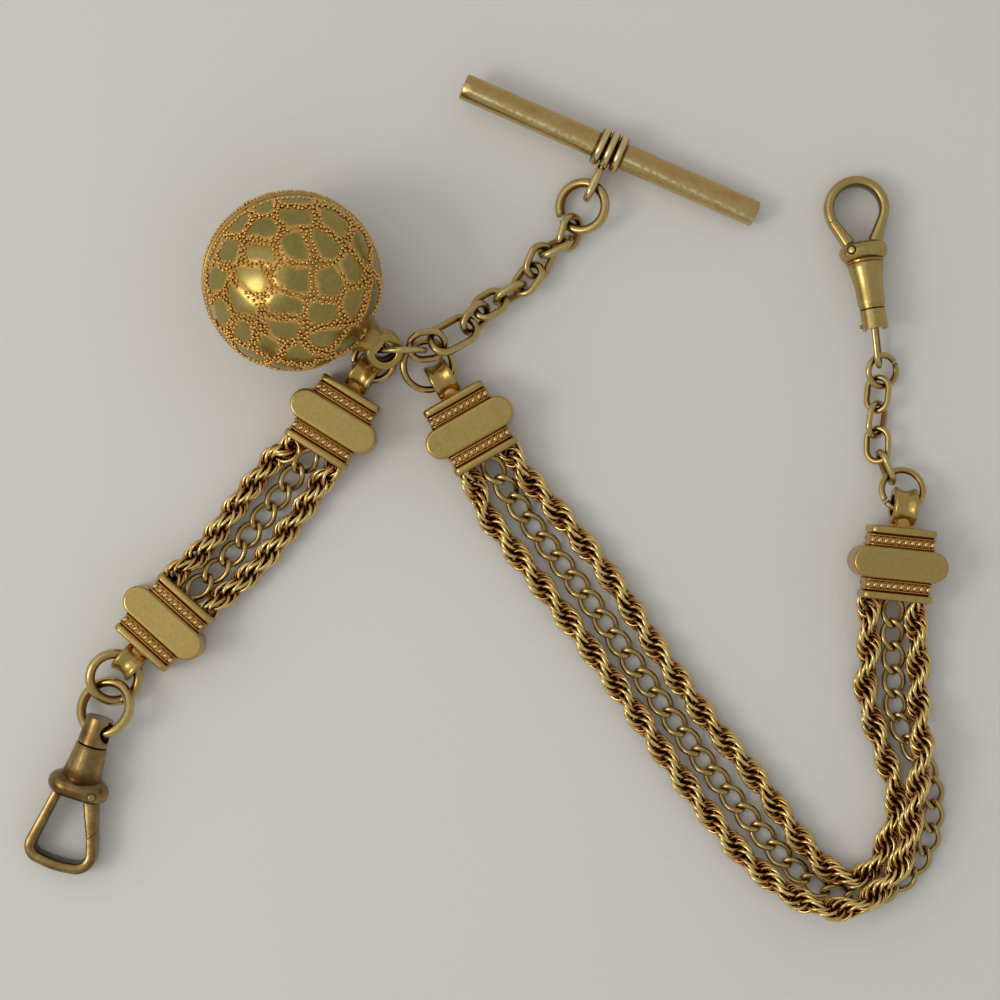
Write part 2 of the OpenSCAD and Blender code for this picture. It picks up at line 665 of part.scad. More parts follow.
translate([-mid_x, -mid_y, 0]) {
    t_bar();
    t_bar_ring();
    for (i = [0:6]) bar_link(i);
    bar_link_8();
    junction_link();
    ball_link();
    long_strap_ring();
    short_strap_ring();
    ball_fob();
    long_slide_near();
    long_slide_far();
    color(deep_gold) rope(long_outer_route);  // long_rope_outer
    color(deep_gold) rope(long_inner_route);  // long_rope_inner
    color(gold) curb_strand(long_curb_route);  // long_curb
    short_slide_near();
    short_slide_far();
    color(deep_gold) rope(short_left_route);  // short_rope_left
    color(deep_gold) rope(short_right_route);  // short_rope_right
    color(gold) curb_strand(short_curb_route);  // short_curb
    long_end_ring();
    for (i = [0:3]) end_link(i);
    end_jump_ring();
    long_clip_bail();
    long_clip_head();
    long_clip_hook();
    long_clip_gate();
    long_clip_rivet();
    short_end_ring_1();
    short_end_ring_2();
    short_clip_head();
    short_clip_hook();
    short_clip_gate();
    short_clip_rivet();
}
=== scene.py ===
import math

import bpy
import numpy as np
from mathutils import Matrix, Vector, noise


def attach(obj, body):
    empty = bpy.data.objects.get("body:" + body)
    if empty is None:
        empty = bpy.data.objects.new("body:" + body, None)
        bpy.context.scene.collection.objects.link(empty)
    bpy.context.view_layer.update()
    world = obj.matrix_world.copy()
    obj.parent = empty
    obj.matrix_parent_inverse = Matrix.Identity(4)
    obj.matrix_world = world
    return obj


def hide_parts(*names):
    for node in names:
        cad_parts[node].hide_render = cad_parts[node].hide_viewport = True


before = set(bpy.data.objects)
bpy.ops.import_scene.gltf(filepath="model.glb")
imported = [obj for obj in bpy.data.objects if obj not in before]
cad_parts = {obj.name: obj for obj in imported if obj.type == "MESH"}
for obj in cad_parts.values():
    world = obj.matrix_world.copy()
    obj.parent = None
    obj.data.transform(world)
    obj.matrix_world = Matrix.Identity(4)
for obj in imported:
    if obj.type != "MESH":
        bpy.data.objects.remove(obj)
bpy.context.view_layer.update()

# Lengths below are millimetres in the plan of the CAD source, whose origin is the middle of the
# view. The row frame has its origin under the middle of the chain's box.
PLAN_MIDDLE = np.array([-1.48, 0.3, 0.0])
MM = 0.001


# Placing: a place is a turning matrix and a point

def cos_sin(degrees):
    """Cosine and sine of an angle in degrees."""
    return math.cos(math.radians(degrees)), math.sin(math.radians(degrees))


def turn(axis, degrees):
    """Matrix of a turn about one axis."""
    c, s = cos_sin(degrees)
    if axis == "x":
        return np.array([[1, 0, 0], [0, c, -s], [0, s, c]])
    if axis == "y":
        return np.array([[c, 0, s], [0, 1, 0], [-s, 0, c]])
    return np.array([[c, -s, 0], [s, c, 0], [0, 0, 1]])


def lay(at, head, up, roll=0):
    """Local X along a heading, raised by a tilt and rolled about itself."""
    return turn("z", head) @ turn("y", -up) @ turn("x", roll), np.array(at, float)


def lean(at, head, tilt):
    """A ring or clip turned to a heading, with its local Y side raised."""
    return turn("z", head) @ turn("x", tilt), np.array(at, float)


def shifted(place, offset):
    """The same place moved by an offset in its own directions."""
    return place[0], place[1] + place[0] @ np.array(offset)


def unit(v):
    """Vectors scaled to a length of 1."""
    tiny = 1e-12
    return v / np.maximum(np.linalg.norm(v, axis=-1, keepdims=True), tiny)


# Meshes. A turned or wired form is an array of rings, each with the same number of points

WIRE_SIDES = 14
BAND_SIDES = 20
TURNED_SIDES = 48
BEND_STEPS = 22
RING_STEPS = 56
CORNER_STEPS = 7


def full_turn(n):
    """Angles of n points round a circle, in radians."""
    return np.radians(np.linspace(0.0, 360.0, n, endpoint=False))


def arc_angles(start, stop, n):
    """Angles of n points from start to stop, given in degrees, in radians."""
    return np.radians(np.linspace(start, stop, n))


def on_circle(a):
    """Points of a circle of radius 1 at the angles a."""
    return np.column_stack([np.cos(a), np.sin(a)])


def long_round(half, n):
    """Outline of two half circles: each point's angle, and the x of its half circle's middle."""
    a = np.concatenate([arc_angles(-90, 90, n), arc_angles(90, 270, n)])
    return a, np.repeat([half, -half], n)


def tones_of(rows):
    """The last value of every row of a profile."""
    return [row[-1] for row in rows]


def in_scene(name, data):
    """A new object in the scene."""
    thing = bpy.data.objects.new(name, data)
    bpy.context.scene.collection.objects.link(thing)
    return thing


def grid(rows, cols, wrap_rows=False):
    """Faces with four corners over rings of points, the last ring joined to the first on request."""
    r, c = np.meshgrid(np.arange(rows if wrap_rows else rows - 1), np.arange(cols), indexing="ij")
    r, c = r.ravel(), c.ravel()
    r2, c2 = (r + 1) % rows, (c + 1) % cols
    return np.stack([r * cols + c, r2 * cols + c, r2 * cols + c2, r * cols + c2], 1)


class Shape:
    """Gathers parts into one mesh. Tone: -1 pale painted highlight, 0 worn, 1 warm gold of recesses, 2 brown
    painted shade.
    """

    def __init__(self):
        self.verts, self.faces, self.tones = [], [], []
        self.count = 0

    def add(self, verts, faces, tone, place=None):
        """Points and faces, with one tone or a tone for each point."""
        verts = np.asarray(verts, float)
        if place is not None:
            verts = verts @ place[0].T + place[1]
        self.verts.append(verts)
        self.faces.extend((np.asarray(faces) + self.count).tolist())
        self.tones.append(np.broadcast_to(np.asarray(tone, float), (len(verts),)))
        self.count += len(verts)

    def rows(self, rings, tone, place=None, closed=False):
        """Skin over rings, with both ends capped unless it closes into a loop. The tone is one
        number, or one for each ring or for each point."""
        rings = np.asarray(rings, float)
        n, m = rings.shape[:2]
        tone = np.asarray(tone, float)
        tone = np.broadcast_to(tone[:, None] if tone.ndim == 1 else tone, (n, m))
        start = self.count
        self.add(rings.reshape(-1, 3), grid(n, m, wrap_rows=closed), tone.ravel(), place)
        if closed:
            return
        around = np.arange(m)
        for end, order in ((0, around), (n - 1, around[::-1])):
            hub = self.count
            ids = start + end * m + order
            self.add([rings[end].mean(0)], np.zeros((0, 3), int), tone[end].mean(), place)
            self.faces.extend([[hub, int(ids[(k + 1) % m]), int(ids[k])] for k in range(m)])

    def make(self, name, slot, body, node, crisp=None):
        """The finished piece, which rides on a body in place of a CAD node. Edges that turn by more
        than crisp degrees stay hard."""
        verts = (np.concatenate(self.verts) - PLAN_MIDDLE) * MM
        mesh = bpy.data.meshes.new(name)
        mesh.from_pydata(verts.tolist(), [], self.faces)
        mesh.validate()
        tone = mesh.attributes.new("tone", "FLOAT", "POINT")
        tone.data.foreach_set("value", np.concatenate(self.tones).astype(np.float32))
        mesh.shade_smooth()
        if crisp is not None:
            mesh.set_sharp_from_angle(angle=math.radians(crisp))
        mesh.materials.append(GOLDS[slot])
        piece = in_scene(name, mesh)
        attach(piece, body)
        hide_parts(node)


def wire(mid, out, up, radius, sides=WIRE_SIDES):
    """Rings of a round wire round the points mid, from two directions square to the wire."""
    a = full_turn(sides)
    return (mid[:, None] + radius * (np.cos(a)[None, :, None] * out[:, None]
                                     + np.sin(a)[None, :, None] * up[:, None]))


def flat_wire(points, outward, d):
    """Rings of a wire whose middle line lies in the XY plane."""
    n = len(points)
    mid = np.column_stack([points, np.zeros(n)])
    out = np.column_stack([outward, np.zeros(n)])
    return wire(mid, out, np.tile([0.0, 0.0, 1.0], (n, 1)), d / 2)


def oval_rings(length, width, d):
    """An oval link, from its outer length and width and its wire's diameter."""
    bend, half = (width - d) / 2, (length - width) / 2
    a, middle = long_round(half, BEND_STEPS)
    outward = on_circle(a)
    return flat_wire(outward * bend + np.column_stack([middle, 0 * middle]), outward, d)


def slit_rings(mid_d, d, slit_at, slit):
    """A jump ring, from its middle and wire diameters and its slit's place and width in degrees."""
    outward = on_circle(arc_angles(slit_at + slit / 2, slit_at - slit / 2 + 360, RING_STEPS))
    return flat_wire(outward * mid_d / 2, outward, d)


def lathe(profile, sides=TURNED_SIDES, axis="y"):
    """A turned form, from rows of place along the axis and radius."""
    a = full_turn(sides)
    rings = []
    for along, r in profile:
        c, s, k = r * np.cos(a), r * np.sin(a), np.full(sides, along)
        rings.append(np.column_stack({"x": (k, c, s), "y": (c, k, -s), "z": (c, s, k)}[axis]))
    return np.array(rings)


def soft_loop(w, h, r):
    """Points round a rectangle with round corners in X and Z, from its half sides."""
    points = []
    for k, (x, z) in enumerate([(1, 1), (-1, 1), (-1, -1), (1, -1)]):
        a = arc_angles(90 * k, 90 * k + 90, CORNER_STEPS)
        points.append(np.column_stack([x * (w - r) + r * np.cos(a), z * (h - r) + r * np.sin(a)]))
    return np.concatenate(points)[::-1]


def soft_rows(profile):
    """Rings of soft rectangles, from rows of y, half width, half height and corner radius."""
    roundest = 0.98
    rings = []
    for y, w, h, r in profile:
        p = soft_loop(w, h, min(r, w * roundest, h * roundest))
        rings.append(np.column_stack([p[:, 0], np.full(len(p), y), p[:, 1]]))
    return np.array(rings)


def ladder(outer, inner, half_z, power):
    """A band between two flat curves. Its section is a soft square, squarer at a higher power."""
    a = full_turn(BAND_SIDES)
    c, s = np.cos(a), np.sin(a)
    u = np.sign(c) * np.abs(c) ** (2 / power)
    w = np.sign(s) * np.abs(s) ** (2 / power)
    mid, half = (outer + inner) / 2, (outer - inner) / 2
    xy = mid[:, None] + u[None, :, None] * half[:, None]
    z = np.broadcast_to(w * half_z, (len(outer), BAND_SIDES))
    return np.concatenate([xy, z[:, :, None]], 2)


def shaded_inside():
    """Tones round a band's section, with painted shade on the side that faces its inner curve."""
    outward = np.cos(full_turn(BAND_SIDES))
    return np.where(outward < -0.65, 1.7, 0.1)[None]


def wire_shade_and_highlight():
    """Tones round a wire's section: painted shade on the side inside the link, a painted highlight on its
    outer side.
    """
    outward = np.cos(full_turn(WIRE_SIDES))
    return np.where(outward < -0.5, 1.5, 0.15 - 0.45 * np.clip(outward, 0, 1))[None]


# Materials

# Sockets of a colour mix node, by number
MIX_FACTOR, MIX_A, MIX_B, MIX_RESULT = 0, 6, 7, 2


class Look:
    """A new material and short calls for the nodes that make its look."""

    def __init__(self, name):
        self.material = bpy.data.materials.new(name)
        self.material.use_nodes = True
        self.nodes = self.material.node_tree.nodes
        self.links = self.material.node_tree.links
        self.shader = self.nodes["Principled BSDF"].inputs
        self.place = self.nodes.new("ShaderNodeTexCoord").outputs["Object"]

    def feed(self, inputs, values):
        """Values for a node's inputs, by name or number. A number or colour is set, and another
        node's output is linked."""
        for key, value in values.items():
            if isinstance(value, bpy.types.NodeSocket):
                self.links.new(value, inputs[key])
            else:
                inputs[key].default_value = value

    def noise(self, scale, detail, roughness=0.5):
        """Noise over the object, from 0 to 1, with its scale in cells a metre."""
        n = self.nodes.new("ShaderNodeTexNoise")
        self.feed(n.inputs, {"Vector": self.place, "Scale": scale, "Detail": detail, "Roughness": roughness})
        return n.outputs["Fac"]

    def mix(self, a, b, factor):
        """Colour between a and b."""
        n = self.nodes.new("ShaderNodeMix")
        n.data_type = "RGBA"
        self.feed(n.inputs, {MIX_A: a, MIX_B: b, MIX_FACTOR: factor})
        return n.outputs[MIX_RESULT]

    def ranged(self, source, low, high, to_low=0.0, to_high=1.0):
        """A value from low to high mapped to another range, and held at its ends."""
        n = self.nodes.new("ShaderNodeMapRange")
        self.feed(n.inputs, dict(enumerate((source, low, high, to_low, to_high))))
        return n.outputs[0]

    def maths(self, operation, *values):
        """Result of a sum or product, held between 0 and 1."""
        n = self.nodes.new("ShaderNodeMath")
        n.operation, n.use_clamp = operation, True
        self.feed(n.inputs, dict(enumerate(values)))
        return n.outputs[0]


def gold(name, worn, warm, shade_brown, rough=0.3, shade_reach=0.5, shade_power=1.0, mottle=0.35, bump=0.05):
    """Worn gold, with a pale painted highlight on crests, warm gold painted into recesses and brown painted
    shade in the gaps.
    """
    look = Look(name)
    worn, warm, shade_brown = (*worn, 1), (*warm, 1), (*shade_brown, 1)
    # Pale gold for the painted highlights
    highlight_pale = (*(min(1.0, 1.35 * c + 0.1) for c in worn[:3]), 1)
    cloud = look.noise(scale=420.0, detail=4.0, roughness=0.6)
    fine = look.noise(scale=2600.0, detail=3.0, roughness=0.65)
    attribute = look.nodes.new("ShaderNodeAttribute")
    attribute.attribute_name = "tone"
    tone = attribute.outputs["Fac"]
    shade = look.nodes.new("ShaderNodeAmbientOcclusion")
    shade.samples = 6
    look.feed(shade.inputs, {"Distance": shade_reach * MM})
    open_share = shade.outputs["AO"]

    # Worn to warm by tone and patches, then painted recess warmth, painted highlight and painted shade
    patchy = look.ranged(cloud, 0.38, 0.68, 0.0, mottle)
    colour = look.mix(worn, warm, look.maths("ADD", tone, patchy))
    # Painted light and shade in recesses: where the occlusion finds one, the colour turns to the warm gold
    colour = look.mix(colour, warm, look.ranged(open_share, 0.85, 0.3))
    # Painted highlight: paler gold where the tone is below 0
    colour = look.mix(colour, highlight_pale, look.ranged(tone, 0.0, -1.0))
    # Painted shade: brown where the occlusion finds a deep gap, and where the tone rises above 1
    hidden = look.ranged(open_share, 0.5, 0.1)
    brown_shade = look.maths("MULTIPLY_ADD", hidden, shade_power, look.ranged(tone, 1.0, 2.0))
    colour = look.mix(colour, shade_brown, brown_shade)
    tint = look.nodes.new("ShaderNodeVectorMath")
    tint.operation = "SCALE"
    look.feed(tint.inputs, {0: colour, "Scale": look.ranged(fine, 0.3, 0.75, 1.06, 0.86)})

    relief = look.nodes.new("ShaderNodeBump")
    look.feed(relief.inputs, {"Strength": bump, "Distance": 0.1 * MM, "Height": fine})

    look.feed(look.shader, {
        "Metallic": 1.0, "Base Color": tint.outputs[0], "Normal": relief.outputs[0],
        "Roughness": look.ranged(cloud, 0.3, 0.7, rough - 0.05, rough + 0.09)})
    return look.material


# Browns of the painted shade in gaps, bores and recesses
BROWN = (0.075, 0.038, 0.014)
UMBER = (0.035, 0.016, 0.006)
SIENNA = (0.14, 0.068, 0.02)

# The record's material slots, each with its worn gold, its warm gold, the brown of its painted shade and
# what else differs
GOLD_ROWS = [
    ("bar_gold", (0.6, 0.45, 0.19), (0.55, 0.34, 0.11), UMBER,
     dict(rough=0.19, bump=0.22, shade_reach=0.8)),
    ("link_gold", (0.52, 0.39, 0.145), (0.4, 0.22, 0.06), UMBER, dict(rough=0.22, shade_reach=0.9)),
    ("slide_gold", (0.5, 0.37, 0.12), (0.56, 0.27, 0.062), SIENNA,
     dict(rough=0.26, mottle=0.15, shade_power=0.7)),
    ("ball_gold", (0.35, 0.28, 0.085), (0.86, 0.5, 0.13), BROWN,
     dict(rough=0.27, mottle=0.12, shade_power=0.5)),
    ("rope_gold", (0.74, 0.51, 0.17), (0.46, 0.2, 0.055), UMBER,
     dict(rough=0.17, shade_reach=0.9, shade_power=1.3)),
    ("clip_gold", (0.5, 0.385, 0.14), (0.44, 0.25, 0.065), UMBER, dict(rough=0.25)),
    ("bronze_clip", (0.37, 0.26, 0.1), (0.14, 0.068, 0.022), UMBER, dict(rough=0.23, mottle=0.85))]
GOLDS = {slot: gold(slot, *colours, **rest) for slot, *colours, rest in GOLD_ROWS}


# Strands

# Slides: the place of the panel's middle, heading, roll, distance to the bail's middle and its diameter
SLIDE_Z = 2.05
FAR_RISE = 0.36
SLIDES = {
    "long_near": ([-3, 7.15, SLIDE_Z], 29.5, 0, 5.6, 3.7),
    "long_far": ([39.45, -6.35, SLIDE_Z + FAR_RISE], -6, 4, 5.75, 3.7),
    "short_near": ([-16.5, 7.8, SLIDE_Z], -32, 0, 5.6, 3.7),
    "short_far": ([-33.3, -12.15, SLIDE_Z], 138, 0, 5.2, 3.3)}

# Where a strand leaves a slide: the slide's end, the spacing of the strands, their height there, how
# far they run straight on, and how far a rope or a curb strand starts inside the slide
STRAND_Y = -3.77
STRAND_X = 2.35
STRAND_Z = 2.1
STRAND_LEAD = 1.2
ROPE_INSET = 0.4
CURB_INSET = 1.5

# Heights of the middle of a strand that lies on the table
ROPE_Z = 1.2
CURB_Z = 0.75


def by_slide(name, x, y):
    """A slide's own x and y as a point of the plan, at the height where strands leave it."""
    at, head = SLIDES[name][:2]
    c, s = cos_sin(head)
    return [at[0] + x * c - y * s, at[1] + x * s + y * c, STRAND_Z]


def strand(strap, side, points):
    """A strand's points from inside one slide to inside the other. The ropes run at the strap's
    sides -1 and 1, the curb at 0. A point without a height lies on the table."""
    near, far = f"{strap}_near", f"{strap}_far"
    inset, lying_z = (CURB_INSET, CURB_Z) if side == 0 else (ROPE_INSET, ROPE_Z)
    x = side * STRAND_X
    middle = [[*p, lying_z] if len(p) == 2 else list(p) for p in points]
    return ([by_slide(near, x, STRAND_Y + inset), by_slide(near, x, STRAND_Y - STRAND_LEAD)] + middle
            + [by_slide(far, -x, STRAND_Y - STRAND_LEAD), by_slide(far, -x, STRAND_Y + inset)])


LONG_OUTER = strand("long", -1, [
    (-1.4, -1.3), (0.7, -4.1), (3.4, -7.6), (8, -13.5), (12.3, -19.4), (17.3, -26.6), (22.9, -33.9),
    (26, -37, 1.6), (29.2, -39.3, 2.6), (32.3, -40.4, 3.1), (35.5, -40.1, 3.3), (38.2, -38, 3.1),
    (39.9, -35.3, 3.2), (40.7, -31.8, 3.2), (41.2, -28.8, 3.2), (41.8, -25.7, 3.3), (41.7, -22.4, 2.5),
    (41.6, -19.2, 1.5), (41.6, -15.8, 1.5)])
LONG_INNER = strand("long", 1, [
    (3, 1.9, 1.5), (6.6, -2.3), (10.8, -7.5), (15.2, -14.2), (19.9, -20.9), (25.2, -27.4), (29.4, -33.2),
    (31.2, -35.4), (33, -37), (35, -37.7), (36.8, -37), (37.9, -35.4), (39, -32.8), (39.5, -30),
    (38.7, -26.6), (37.4, -22.8), (36.4, -19), (36.7, -15.6, 1.5)])
LONG_CURB = strand("long", 0, [
    (0.7, 1.2, 1.6), (1.9, -0.7), (4.4, -4.1), (8.7, -9.7), (12.8, -15.6), (17.1, -21.7), (21.5, -27.6),
    (26.3, -33.5), (29.4, -36.9), (32.6, -39.2), (35.9, -39.8), (39.2, -38.6), (41.6, -36.4),
    (42.9, -33.4), (43.2, -30), (42.7, -27), (41.1, -24.6), (39.7, -22.2), (39.3, -19),
    (39.2, -15.6, 1), (39.05, -13, 1.6)])
SHORT_LEFT = strand("short", -1, [
    (-21.8, 5, 1.6), (-23.6, 2.7), (-25.6, 0.3), (-28, -3), (-30.4, -5.8, 1.6)])
SHORT_RIGHT = strand("short", 1, [
    (-17.9, 1.7, 1.6), (-19.6, -0.9), (-21.9, -3.9), (-24.5, -6.9), (-27.2, -9.3, 1.6)])
SHORT_CURB = strand("short", 0, [
    (-20, 3.2, 1.5), (-21.6, 0.9, 0.9), (-23.9, -2), (-26.2, -4.9, 0.9), (-28.6, -7.4, 1.5)])


class Route:
    """A smooth route through points, read by the distance along it."""

    def __init__(self, points):
        steps = 8
        p = np.array([points[0], *points, points[-1]], float)
        fine = []
        for i in range(1, len(p) - 2):
            a, b, c, d = p[i - 1:i + 3]
            for t in np.arange(steps) / steps:
                fine.append(0.5 * (2 * b + (c - a) * t + (2 * a - 5 * b + 4 * c - d) * t ** 2
                                   + (3 * b - a - 3 * c + d) * t ** 3))
        self.fine = np.array(fine + [p[-1]])
        self.runs = np.concatenate([[0], np.cumsum(np.linalg.norm(np.diff(self.fine, axis=0), axis=1))])
        self.total = self.runs[-1]

    def at(self, s):
        """Points at the distances s."""
        s = np.clip(s, 0, self.total)
        return np.column_stack([np.interp(s, self.runs, self.fine[:, k]) for k in range(3)])

    def along(self, s):
        """Directions of the route at the distances s, each taken over a short stretch."""
        reach = 0.4
        return unit(self.at(s + reach) - self.at(s - reach))


# Rope rings: middle radius, stretch along the strand, wire radius, pitch, lean in degrees and the
# least gap to the table
ROPE_RING_R = 1.10
ROPE_STRETCH = 1.08
ROPE_WIRE_R = 0.175
ROPE_PITCH = 0.34
ROPE_LEAN = 79
ROPE_GAP = 0.03
ROPE_STEPS = 20
ROPE_SIDES = 7

# How a ring's turn and tone stray, and over what share of the radius the painted shade deepens inwards
STRAY_STEP = 0.83
STRAY_TURN = 0.3
STRAY_TONE = 1.1
SHADE_DEPTH = 0.45
# Tones run from a painted highlight on the outer crests to painted shade deep inside
ROPE_PALEST = -0.45
ROPE_WARMEST = 1.4


def rope_chain(name, node, points, lay_length, phase):
    """Rope chain: small rings lie along the strand, threaded through each other with their faces
    turning slowly about it, every other one leaning the other way."""
    route = Route(points)
    s = np.arange(0, route.total, ROPE_PITCH)
    mid, along = route.at(s), route.along(s)
    mid[:, 2] = np.maximum(mid[:, 2], ROPE_RING_R + ROPE_WIRE_R + ROPE_GAP)
    side = unit(np.cross([0.0, 0.0, 1.0], along))
    up = np.cross(along, side)
    stray = np.array([noise.noise(Vector((k * STRAY_STEP, lay_length, phase))) for k in range(len(s))])
    spin = 2 * np.pi * s / lay_length + phase + np.pi * (np.arange(len(s)) % 2) + STRAY_TURN * stray
    radial = np.cos(spin)[:, None] * side + np.sin(spin)[:, None] * up
    across = np.cross(along, radial)
    c, k = cos_sin(ROPE_LEAN)
    normal = c * along + k * radial
    length = np.cross(normal, across)
    u = full_turn(ROPE_STEPS)
    wide, long = np.cos(u)[:, None], np.sin(u)[:, None]
    faces = grid(ROPE_STEPS, ROPE_SIDES, wrap_rows=True)
    shape = Shape()
    for i in range(len(s)):
        loop = mid[i] + ROPE_RING_R * (wide * across[i] + ROPE_STRETCH * long * length[i])
        out = unit(ROPE_STRETCH * wide * across[i] + long * length[i])
        rings = wire(loop, out, np.tile(normal[i], (ROPE_STEPS, 1)), ROPE_WIRE_R, ROPE_SIDES)
        # Painted shade: the gold warms towards the strand's middle, and the outer crests get a painted
        # highlight
        depth = np.linalg.norm(np.cross(rings.reshape(-1, 3) - mid[i], along[i]), axis=1)
        inwards = (ROPE_RING_R - depth) / (SHADE_DEPTH * ROPE_RING_R)
        tone = np.clip(inwards - 0.15 + STRAY_TONE * stray[i], ROPE_PALEST, ROPE_WARMEST)
        shape.add(rings.reshape(-1, 3), faces, tone)
    shape.make(name, "rope_gold", "chain", node)


# Curb links: outer length and width, wire diameter, pitch and the twist at each end in degrees
CURB_LENGTH = 3.56
CURB_WIDTH = 2.5
CURB_WIRE = 0.56
CURB_PITCH = 2.4
CURB_TWIST = -46
CURB_STEPS = 36
CURB_SIDES = 10

# Tones of a curb link's ends, which carry a painted highlight, and of its sides
CURB_END_TONE = -0.6
CURB_SIDE_TONE = 0.0


def curb_line(t):
    """Middle line of a curb link's wire, at the angles t."""
    x = (CURB_LENGTH - CURB_WIRE) / 2 * np.cos(t)
    y = (CURB_WIDTH - CURB_WIRE) / 2 * np.sin(t)
    q = np.radians(CURB_TWIST * np.cos(t))
    return np.column_stack([x, y * np.cos(q), y * np.sin(q)])


def curb_strand(name, node, points):
    """Curb links, each an oval of wire twisted about its long axis, with a painted highlight at its ends."""
    t = full_turn(CURB_STEPS)
    step = np.pi / CURB_STEPS
    mid = curb_line(t)
    along = unit(curb_line(t + step) - curb_line(t - step))
    out = unit(mid - along * np.sum(mid * along, 1, keepdims=True))
    one = wire(mid, out, np.cross(along, out), CURB_WIRE / 2, CURB_SIDES).reshape(-1, 3)
    faces = grid(CURB_STEPS, CURB_SIDES, wrap_rows=True)
    at_end = np.abs(np.cos(t)) > 0.9
    tone = np.repeat(np.where(at_end, CURB_END_TONE, CURB_SIDE_TONE), CURB_SIDES)
    route = Route(points)
    count = math.floor((route.total - CURB_LENGTH + CURB_PITCH) / CURB_PITCH)
    s = (route.total - count * CURB_PITCH) / 2 + np.arange(count + 1) * CURB_PITCH
    ends = route.at(s)
    shape = Shape()
    for p, q in zip(ends, ends[1:]):
        way = q - p
        head = math.degrees(math.atan2(way[1], way[0]))
        up = math.degrees(math.atan2(way[2], math.hypot(way[0], way[1])))
        shape.add(one, faces, tone, lay((p + q) / 2, head, up))
    shape.make(name, "link_gold", "chain", node)


# Each rope's turns have their own length and first angle
rope_chain("rope_long_outer", "long_rope_outer", LONG_OUTER, 8.1, 0.0)
rope_chain("rope_long_inner", "long_rope_inner", LONG_INNER, 8.1, 1.2)
rope_chain("rope_short_left", "short_rope_left", SHORT_LEFT, 6.0, 0.4)
rope_chain("rope_short_right", "short_rope_right", SHORT_RIGHT, 6.0, 2.0)
curb_strand("curb_long", "long_curb", LONG_CURB)
curb_strand("curb_short", "short_curb", SHORT_CURB)


# Slides

# Outline of one half of a slide: y from the panel's middle, half width, half thickness and tone
SLIDE_PROFILE = [
    (1.4, 3.25, 1.6, 0.9), (1.58, 3.28, 1.6, 1.0), (1.65, 3.35, 1.72, 0.7), (1.71, 3.4, 1.79, 0.5),
    (1.79, 3.4, 1.79, 0.5), (1.86, 3.34, 1.68, 0.8), (1.9, 3.3, 1.58, 1.0), (2.52, 3.3, 1.58, 1.0),
    (2.57, 3.32, 1.68, 0.8), (2.63, 3.36, 1.77, 0.5), (2.71, 3.36, 1.77, 0.5), (2.77, 3.3, 1.66, 0.9),
    (2.83, 3.15, 1.56, 1.0), (2.9, 3.25, 1.72, 0.6), (2.98, 3.33, 1.85, 0.1), (3.08, 3.35, 1.875, 0.0),
    (3.36, 3.35, 1.875, 0.0), (3.52, 3.32, 1.85, 0.1), (3.61, 3.24, 1.76, 0.4), (3.65, 3.1, 1.62, 0.8)]
SLIDE_CORNER = 0.7

# The end rail on the strands' side is wider than the rest
FLARE = 0.2
FLARE_FROM = 2.85

# Raised oval panel: its end radius, half its straight stretch, and its bevelled rim as rows of z,
# inset from the outline and tone
PANEL_R = 1.55
PANEL_STRAIGHT = 3.2
PANEL_STEPS = 19
PANEL_RIM = [
    (-2.05, 0.26, 0.0), (-2.035, 0.14, 0.0), (-1.96, 0.04, 0.1), (-1.84, 0.0, 0.5), (1.84, 0.0, 0.5),
    (1.96, 0.04, 0.1), (2.035, 0.14, 0.0), (2.05, 0.26, 0.0)]

# Beads: tall ones in a row, the row's half length, place and slant, the base's height, and each
# bead's half width, half length and height
BEADS = 10
BEAD_ROW_X = 3.0
BEAD_ROW_Y = 2.21
BEAD_SLANT = -30
BEAD_BASE_Z = 1.56
TALL_BEAD = (0.25, 0.33, 0.25)
SMALL_BEAD = (0.11, 0.17, 0.14)
SMALL_BEAD_INSET = 0.08
BEAD_SIDES = 10

# A bead's rings: share of its width, share of its height and tone, from painted shade at the foot to a
# painted highlight on top
BEAD_RINGS = [(1.0, 0.0, 1.2), (0.93, 0.45, 0.7), (0.7, 0.8, -0.5), (0.35, 0.97, -0.9)]

BAIL_LENGTH = 2.4
BAIL_BORE = 2.15
WAIST_DEPTH = 0.28
WAIST_STEPS = 11
SPOOL_SIDES = 44


def spool(shape, place, d):
    """Spool shaped bail along local X, with rolled rims, a hollow waist and a bore darkened with painted
    shade.
    """
    r, b, h = d / 2, BAIL_BORE / 2, BAIL_LENGTH / 2
    rim = [(-h, b + 0.1), (-h + 0.02, r - 0.22), (-h + 0.1, r - 0.06), (-h + 0.24, r), (-h + 0.4, r - 0.03)]
    waist = [(x, r - WAIST_DEPTH * math.cos(x / (h - 0.4) * math.pi / 2) - 0.02)
             for x in np.linspace(-h + 0.5, h - 0.5, WAIST_STEPS)]
    bore = [(h - 0.06, b), (0, b - 0.05), (-h + 0.06, b)]
    outside = rim + waist + [(-x, q) for x, q in rim[::-1]]
    # Painted shade in the bore
    tones = [0.15] * len(outside) + [1.9] * len(bore)
    shape.rows(lathe(outside + bore, SPOOL_SIDES, "x"), tones, place, closed=True)


def slide_body(shape, place):
    """Body with its rails and grooves, from the strands' end to the bail's end."""
    rows, tones = [], []
    for side, profile in ((-1, SLIDE_PROFILE[::-1]), (1, SLIDE_PROFILE)):
        for y, wide, thick, tone in profile:
            flare = FLARE if side < 0 and y > FLARE_FROM else 0.0
            rows.append((side * y, wide + flare, thick, SLIDE_CORNER))
            tones.append(tone)
    shape.rows(soft_rows(rows), tones, place)


